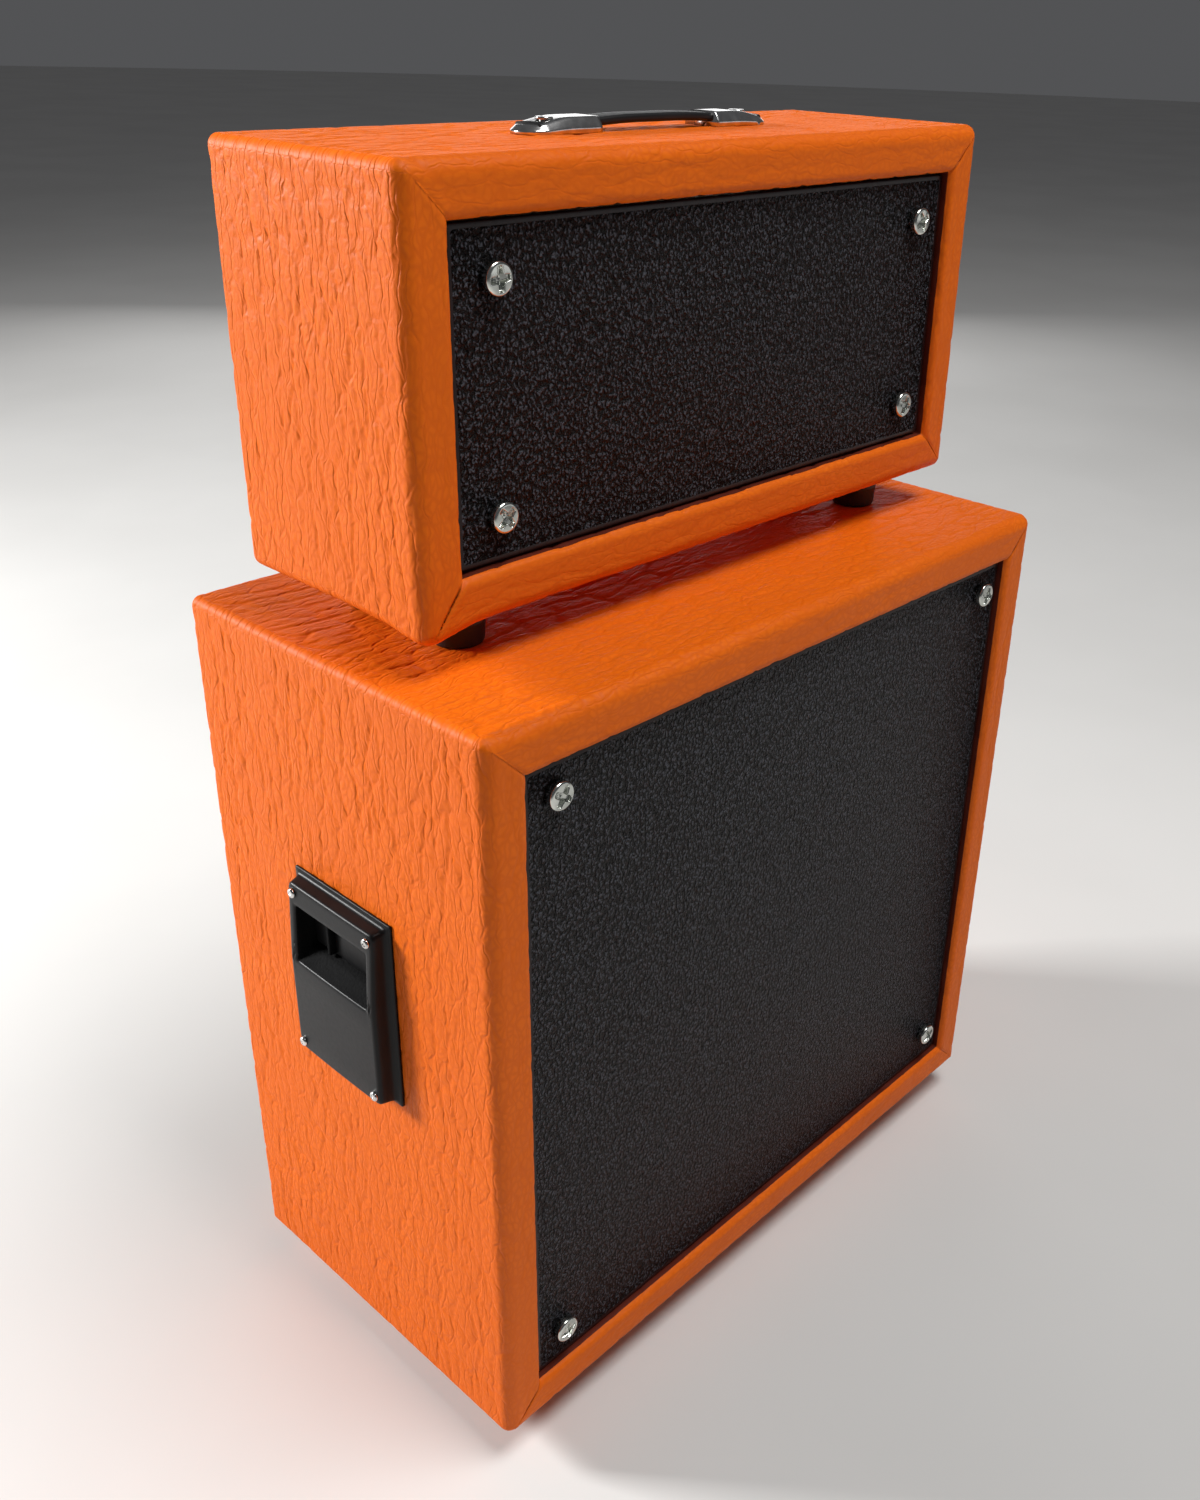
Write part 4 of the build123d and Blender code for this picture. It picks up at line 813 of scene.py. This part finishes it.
# ---- cup handles
CUP_STAND = 4.2 * MM  # how far the face stands off the side
CUP_BEND = 3.3 * MM  # the height above the middle where the face bends back
CUP_LEAN = 1.0 * MM  # how far its top edge leans in
CUP_BELLY, CUP_FOLD, FOLD_WIDTH = 0.18 * MM, 0.16 * MM, 0.35 * MM
FLANGE, RIM_DROP = 0.9 * MM, 1.5 * MM
POCKET_HALF, POCKET_CORNER = 10.3 * MM, 0.55 * MM
CUP_SCREW_AT = (10.9 * MM, 16.4 * MM)
CUP_ARC, CUP_SIDE = 5, 36
# From the side outwards: growth of the outline, how far out, and corner radius, in mm.
CUP_OUTLINE = (
    (-0.35, 0.0, 0.05), (0.0, 0.02, 0.25), (0.0, 0.45, 0.3), (-0.12, 0.62, 0.3),
    (-0.40, 0.68, 0.4), (-0.72, 0.82, 0.55), (-0.98, 1.10, 0.7), (-1.12, 1.50, 0.85),
    (-1.20, 2.0, 0.95), (-1.30, 2.8, 1.0), (-1.40, 3.45, 1.0), (-1.50, 3.80, 1.0),
    (-1.68, 4.02, 1.0), (-1.95, 4.16, 1.0), (-2.25, 4.20, 1.0),
)
# From the pocket's lip inwards: growth of the outline, how far out, and lift of its floor, in mm.
CUP_HOLLOW = (
    (0.85, 4.20, 0), (0.40, 4.12, 0), (0.12, 3.90, 0), (0.0, 3.5, 0.1), (-0.05, 2.6, 1.0),
    (-0.10, 1.7, 1.7), (-0.25, 1.3, 1.9), (-0.5, 0.2, 2.0), (-0.7, -0.9, 2.2), (-1.1, -1.25, 2.6),
)
LIP_ROWS = 2  # rows of the hollow that still belong to the glossy face
FACE_SHARES = (0.2, 0.4, 0.6, 0.8)
# The rib in the pocket: how far out, and half its width, in mm.
CUP_RIB = ((-1.2, 0.55), (1.0, 0.45), (1.25, 0.35), (1.3, 0.15))
RIB_AT, RIB_LIFT, RIB_SHORT = 4.2 * MM, 1.2 * MM, 1.6 * MM
small_head = cross_head(
    0.98 * MM, 0.78 * MM, 0.52 * MM, 0.5 * MM, 0.26 * MM, 0.22 * MM, rings=14, segments=48
)


def smooth_part(value):
    t = max(0.0, min(1.0, value))
    return t * t * (3 - 2 * t)


def cup_rings(reach_y, reach_z, half_z, pocket_z):
    """Rings (y, z, out) of a flat-faced cup, from its flange to the bottom of its pocket."""
    rings = []
    for growth, out, radius in CUP_OUTLINE:
        size = (reach_y + growth * MM, reach_z + growth * MM)
        ring = rounded_ring(*size, radius * MM, CUP_ARC, CUP_SIDE)
        rings.append([(y, z, out * MM) for y, z in ring])
    hollow = []
    for growth, out, lift in CUP_HOLLOW:
        size = (POCKET_HALF + growth * MM, half_z + (growth - lift / 2) * MM)
        ring = rounded_ring(*size, POCKET_CORNER, CUP_ARC, CUP_SIDE)
        hollow.append([(y, z + pocket_z + lift / 2 * MM, out * MM) for y, z in ring])
    edge, lip = rings[-1], hollow[0]
    for k in FACE_SHARES:
        rings.append([tuple(p + (q - p) * k for p, q in zip(a, b)) for a, b in zip(edge, lip)])
    return rings + hollow


def bent_out(y, z, out, reach_y, reach_z):
    """How far out a point of the flat cup comes, with its bend, belly and fold."""
    raised = smooth_part(out / CUP_STAND)
    past = max(z - CUP_BEND, 0.0) / (reach_z - RIM_DROP - CUP_BEND)
    lean = CUP_LEAN * past * max(0.0, min(out / CUP_STAND, 1.0))
    belly = CUP_BELLY * (1 - (y / reach_y) ** 2) * raised * (1 if z < CUP_BEND else 0.3)
    fold = CUP_FOLD * math.exp(-(((z - CUP_BEND) / FOLD_WIDTH) ** 2)) * raised
    return out - lean + belly - fold


def cup_handle(side, name, node, pocket):
    """A moulded cup with a thin flange, a bent face and a finger pocket. Returns its screws."""
    low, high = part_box(node)
    wall_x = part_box("cab_covering")[0 if side < 0 else 1].x
    middle_z = (low.z + high.z) / 2
    pocket_low, pocket_high = (Vector(v) for v in pocket)
    pocket_z = (pocket_low.z + pocket_high.z) / 2 - middle_z
    half_z = (pocket_high.z - pocket_low.z) / 2 + 0.1 * MM
    reach_y, reach_z = (high.y - low.y) / 2 - FLANGE, (high.z - low.z) / 2
    rings = []
    for ring in cup_rings(reach_y, reach_z, half_z, pocket_z):
        out = [bent_out(*point, reach_y, reach_z) for point in ring]
        rings.append([(wall_x + side * o, y, middle_z + z) for o, (y, z, _) in zip(out, ring)])
    shell = loft(rings)
    in_pocket = (len(CUP_OUTLINE) + len(FACE_SHARES) + LIP_ROWS) * len(rings[0])
    rib = []
    for out, half in CUP_RIB:
        ring = rounded_ring(half * MM, half_z - RIB_SHORT, 0.14 * MM, 2, 4)
        x, z_middle = wall_x + side * out * MM, middle_z + pocket_z + RIB_LIFT
        rib.append([(x, y + RIB_AT, z_middle + z) for y, z in ring])
    dull = [min(face) >= in_pocket for face in shell[1]]
    points, faces = joined([shell, loft(rib)])
    if side > 0:
        faces = [tuple(reversed(f)) for f in faces]
    cup = add_object(name, points, faces, "cabinet", gloss_black, (node,), "cup_plastic")
    cup.data.materials.append(pocket_black)
    for k, polygon in enumerate(cup.data.polygons):
        polygon.material_index = int(k >= len(dull) or dull[k])
    spots = []
    for y in (-CUP_SCREW_AT[0], CUP_SCREW_AT[0]):
        for z in (-CUP_SCREW_AT[1], CUP_SCREW_AT[1]):
            lean = CUP_LEAN * max(z - CUP_BEND, 0.0) / (reach_z - RIM_DROP - CUP_BEND)
            x = wall_x + side * (CUP_STAND - lean - 0.05 * MM)
            spots.append(((x, y, middle_z + z), (side, 0, 0)))
    return spots


pockets = {o["name"]: o["box_m"] for o in record["physics"]["openings"]}
cup_spots = cup_handle(-1, "left_cup", "left_cup_handle", pockets["left_cup_pocket"])
cup_spots += cup_handle(1, "right_cup", "right_cup_handle", pockets["right_cup_pocket"])
screw_set(
    "cup_screw_heads", "cup_handle_screws", "cabinet", nickel, "bright_screw",
    cup_spots, small_head, (20, 75, 50, 5, 33, 64, 12, 81),
)


# ---- strap handle
STRAP_THICK, STRAP_GAP = 1.35 * MM, 0.4 * MM
STRAP_STEPS = 48
STRAP_CROWN, STRAP_NARROWING, STRAP_SWAY = 0.12 * MM, 0.12 * MM, 0.10 * MM
CAP_LENGTH, CAP_MIDDLE = 15.5 * MM, 8.5 * MM
CAP_LOW, CAP_SLOPE = 0.52, 0.62  # its outer end's height, and where it reaches full height
CAP_TURN, CAP_SIDE = 24, 20
# From the base up: how far the outline draws in, in mm, and the share of the height.
CAP_PROFILE = (
    (0.0, 0.0), (0.0, 0.30), (0.04, 0.38), (0.16, 0.46), (0.42, 0.62),
    (0.72, 0.80), (0.92, 0.91), (1.15, 0.97), (1.5, 1.0),
)
strap_rubber = make_plastic(
    "strap_rubber", rgb(0.008, 0.008, 0.009), 0.45, 1.4, 0.00006, shine=0.22
)


def strap(base, middle_y):
    """The flexible strap: low at its ends, arched between, with a slightly crowned top."""
    low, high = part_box("handle_strap")
    half_width, span = (high.y - low.y) / 2, high.x - low.x
    rise = high.z - base - STRAP_THICK - STRAP_GAP
    rings = []
    for k in range(STRAP_STEPS + 1):
        share = k / STRAP_STEPS
        arch = smooth_part(min(share, 1 - share) / 0.42)
        middle_z = base + STRAP_GAP + rise * arch + STRAP_THICK / 2 - 0.1 * MM
        sway = STRAP_SWAY * math.sin(share * 9.0)
        wide = half_width - STRAP_NARROWING * arch
        ring = []
        for y, z in rounded_ring(wide, STRAP_THICK / 2, 0.55 * MM, 5, 6):
            crown = STRAP_CROWN * (1 - (y / half_width) ** 2) if z > 0 else 0.0
            ring.append((low.x + span * share, middle_y + y + sway, middle_z + z + crown))
        rings.append(ring)
    points, faces = loft(rings)
    add_object("strap", points, faces, "head", strap_rubber, ("handle_strap",), "strap_black")


def cap_outline(side, outer_x, half, wide):
    """Points (x, y) round an end cap: half a circle at its outer end, and two straight sides."""
    ring = []
    for k in range(CAP_TURN + 1):
        angle = math.radians(-90 + 180 * k / CAP_TURN)
        x = outer_x - side * (half - wide * math.cos(angle))
        ring.append((x, side * wide * math.sin(angle)))
    run = CAP_LENGTH - half
    for k in range(1, CAP_SIDE + 1):
        ring.append((outer_x - side * (half + run * k / CAP_SIDE), side * wide))
    for k in range(CAP_SIDE + 1):
        ring.append((outer_x - side * (half + run * (1 - k / CAP_SIDE)), -side * wide))
    return ring


def end_cap(side, low, high):
    """A pressed metal cap: low and rounded at its outer end, full height where the strap ends."""
    outer_x = low.x if side < 0 else high.x
    half, middle_y, tall = (high.y - low.y) / 2, (low.y + high.y) / 2, high.z - low.z

    def raised(x, up):
        slope = smooth_part(min(1.0, abs(x - outer_x) / CAP_LENGTH / CAP_SLOPE))
        return low.z + tall * up * (CAP_LOW + (1 - CAP_LOW) * slope)

    shape = []
    for inset, up in CAP_PROFILE:
        ring = cap_outline(side, outer_x, half, half - inset * MM)
        shape.append([(x, middle_y + y, raised(x, up)) for x, y in ring])
    centre_x = outer_x - side * CAP_MIDDLE
    top = shape[-1]
    for share in (0.75, 0.45, 0.2):
        inner = [
            (centre_x + (x - centre_x) * share, middle_y + (y - middle_y) * share)
            for x, y, _ in top
        ]
        shape.append([(x, y, raised(x, 1.0)) for x, y in inner])
    return loft(shape)


low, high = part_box("handle_end_caps")
strap(low.z, (low.y + high.y) / 2)
points, faces = joined([end_cap(side, low, high) for side in (-1, 1)])
add_object("strap_end_caps", points, faces, "head", chrome, ("handle_end_caps",), "handle_chrome")


# ---- feet
FOOT_RADIUS = 5.0  # at the top, in mm
FOOT_SEGMENTS = 56


def foot_profile(tall):
    """(radius, height) pairs in mm, from the middle of the top down to the screw's seat."""
    return [
        (0.4, tall), (4.8, tall), (FOOT_RADIUS, tall - 0.2),
        (4.72, tall * 0.56), (4.78, tall * 0.54), (4.70, tall * 0.52),
        (4.52, 0.75), (4.45, 0.4), (4.28, 0.12), (4.0, 0.0),
        (3.0, 0.0), (2.85, 0.12), (2.8, 2.4), (0.4, 2.5),
    ]


def rubber_feet(name, node, body):
    """Moulded feet: tapered, with a rounded lower edge, a parting line and a sunk screw seat."""
    low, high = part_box(node)
    profile = [(r * MM, z * MM) for r, z in foot_profile((high.z - low.z) / MM)]
    foot_points, foot_faces = loft(turned(profile, FOOT_SEGMENTS))
    groups = []
    for x in (low.x + FOOT_RADIUS * MM, high.x - FOOT_RADIUS * MM):
        for y in (low.y + FOOT_RADIUS * MM, high.y - FOOT_RADIUS * MM):
            placed = [(x + px, y + py, low.z + pz) for px, py, pz in foot_points]
            groups.append((placed, foot_faces))
    points, faces = joined(groups)
    faces = [tuple(reversed(f)) for f in faces]
    add_object(name, points, faces, body, rubber, (node,), "foot_rubber")


rubber_feet("cab_rubber_feet", "cab_feet", "cabinet")
rubber_feet("head_rubber_feet", "head_feet", "head")


# ---- dials on the rear panel
def small_bar(centre, length, width, depth, turn):
    """A flat bar lying on the rear panel, its length turned from Z, its face towards +Y."""
    rings = []
    for inset, out in ((0.0, 0.0), (0.0, depth * 0.6), (min(width, length) * 0.12, depth)):
        ring = rounded_ring(width / 2 - inset, length / 2 - inset, width * 0.2, 2, 2)
        rings.append([(x, z, out) for x, z in ring])
    points, faces = loft(rings)
    c, n = math.cos(turn), math.sin(turn)
    mx, my, mz = centre
    moved = [(mx + c * x + n * z, my + out, mz - n * x + c * z) for x, z, out in points]
    return moved, [tuple(reversed(f)) for f in faces]


DIAL_MARKS, DIAL_START, DIAL_STEP, DIAL_RADIUS = 11, -150, 30, 7.15 * MM
MARK_WIDTH, MARK_DEPTH = 0.24 * MM, 0.07 * MM
_, rear_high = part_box("head_rear_panel")
dial_marks = []
for knob in ("gain", "tone", "volume"):
    low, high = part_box(knob + "_knob")
    x, z = (low.x + high.x) / 2, (low.z + high.z) / 2
    inlay = small_bar((x, high.y - 0.55 * MM, z + 3.1 * MM), 4.0 * MM, 0.55 * MM, 0.45 * MM, 0.0)
    add_object(knob + "_pointer", *inlay, knob, white_ink)
    for k in range(DIAL_MARKS):
        turn = math.radians(DIAL_START + DIAL_STEP * k)
        spot_x, spot_z = x + DIAL_RADIUS * math.sin(turn), z + DIAL_RADIUS * math.cos(turn)
        length = (0.85 if k % 5 == 0 else 0.6) * MM
        spot = (spot_x, rear_high.y - 0.02 * MM, spot_z)
        dial_marks.append(small_bar(spot, length, MARK_WIDTH, MARK_DEPTH, turn))
add_object("dial_marks", *joined(dial_marks), "head", white_ink)


# ---- materials on the CAD's own nodes
def paint(material, *names):
    for name in names:
        slots = nodes[name].material_slots
        for slot in slots:
            slot.link = "OBJECT"
            slot.material = material
        if not slots:
            nodes[name].data.materials.append(material)


paint(nickel, "handle_screws", "cab_foot_screws", "head_foot_screws", "door_hinge_pin")
paint(nickel, "cab_speaker_jack", "head_jacks", "potentiometers")
paint(black_oxide, "cab_rear_screws", "head_rear_screws")
paint(rubber, "speaker_lead")
paint(powder_coat, "head_rear_panel", "speaker_basket", "cab_jack_plate")
paint(aluminium, "chassis_tray", "chip_heat_sink")
paint(steel, "speaker_top_plate", "speaker_yoke")
paint(ferrite, "speaker_magnet")
paint(paper, "speaker_cone", "speaker_dust_cap", "speaker_gasket")
paint(cloth, "speaker_surround", "speaker_spider")
paint(copper, "voice_coil")
paint(moulded_black, "gain_knob", "tone_knob", "volume_knob", "battery_door", "battery_bay",
      "power_switch_body", "power_socket", "circuit_components")
paint(gloss_black, "power_rocker")
paint(red_lens, "power_lamp")
paint(laminate, "circuit_board")
paint(battery_grey, "battery")
boards = [n for n in nodes if n.endswith(("_board", "_boards")) and n != "circuit_board"]
paint(plywood, "cab_battens", "head_corner_blocks", *boards)
paint(black_wood, "cab_baffle", "cab_upper_back", "cab_lower_back")


# ---- floor, world and lights
def make_stage():
    s = Shader("pale_floor", Roughness=0.75, Specular_IOR_Level=0.2)
    at = s.place()
    blotch = s.ramp(s.noise(at, 6.0, 4.0), 0.3, 0.7)
    pale = s.use(Base_Color=s.mix(blotch, rgb(0.70, 0.69, 0.67), rgb(0.74, 0.73, 0.71)))
    reaches = [(radius, 0.0) for radius in (0.02, 0.6, 2.0, 6.0)]
    points, faces = loft(turned(reaches, 64), cap_end=False)
    mesh = bpy.data.meshes.new("floor")
    mesh.from_pydata(points, [], faces)
    shown("floor", mesh, pale)
    world = bpy.data.worlds.new("studio")
    world.use_nodes = True
    background = world.node_tree.nodes["Background"]
    background.inputs[0].default_value = rgb(0.95, 0.96, 1.0)
    background.inputs[1].default_value = 0.09
    bpy.context.scene.world = world


def add_light(name, place, target, size, power):
    data = bpy.data.lights.new(name, "AREA")
    data.shape = "RECTANGLE"
    data.size, data.size_y = size
    data.energy = power
    lamp = bpy.data.objects.new(name, data)
    bpy.context.scene.collection.objects.link(lamp)
    lamp.location = place
    aim = Vector(target) - Vector(place)
    lamp.rotation_euler = aim.to_track_quat("-Z", "Y").to_euler()


make_stage()
add_light("key_left", (-0.51, 0.65, 0.42), (0, 0.02, 0.12), (0.18, 0.18), 9.8)
add_light("top_soft", (0.10, -0.32, 1.00), (0, 0, 0.15), (0.45, 0.35), 6.8)
add_light("front_fill", (0.80, -0.95, 0.24), (0, 0, 0.12), (0.9, 0.3), 0.6)
add_light("rear_card", (0.70, 0.80, 0.34), (0, 0, 0.20), (0.8, 0.4), 1.6)
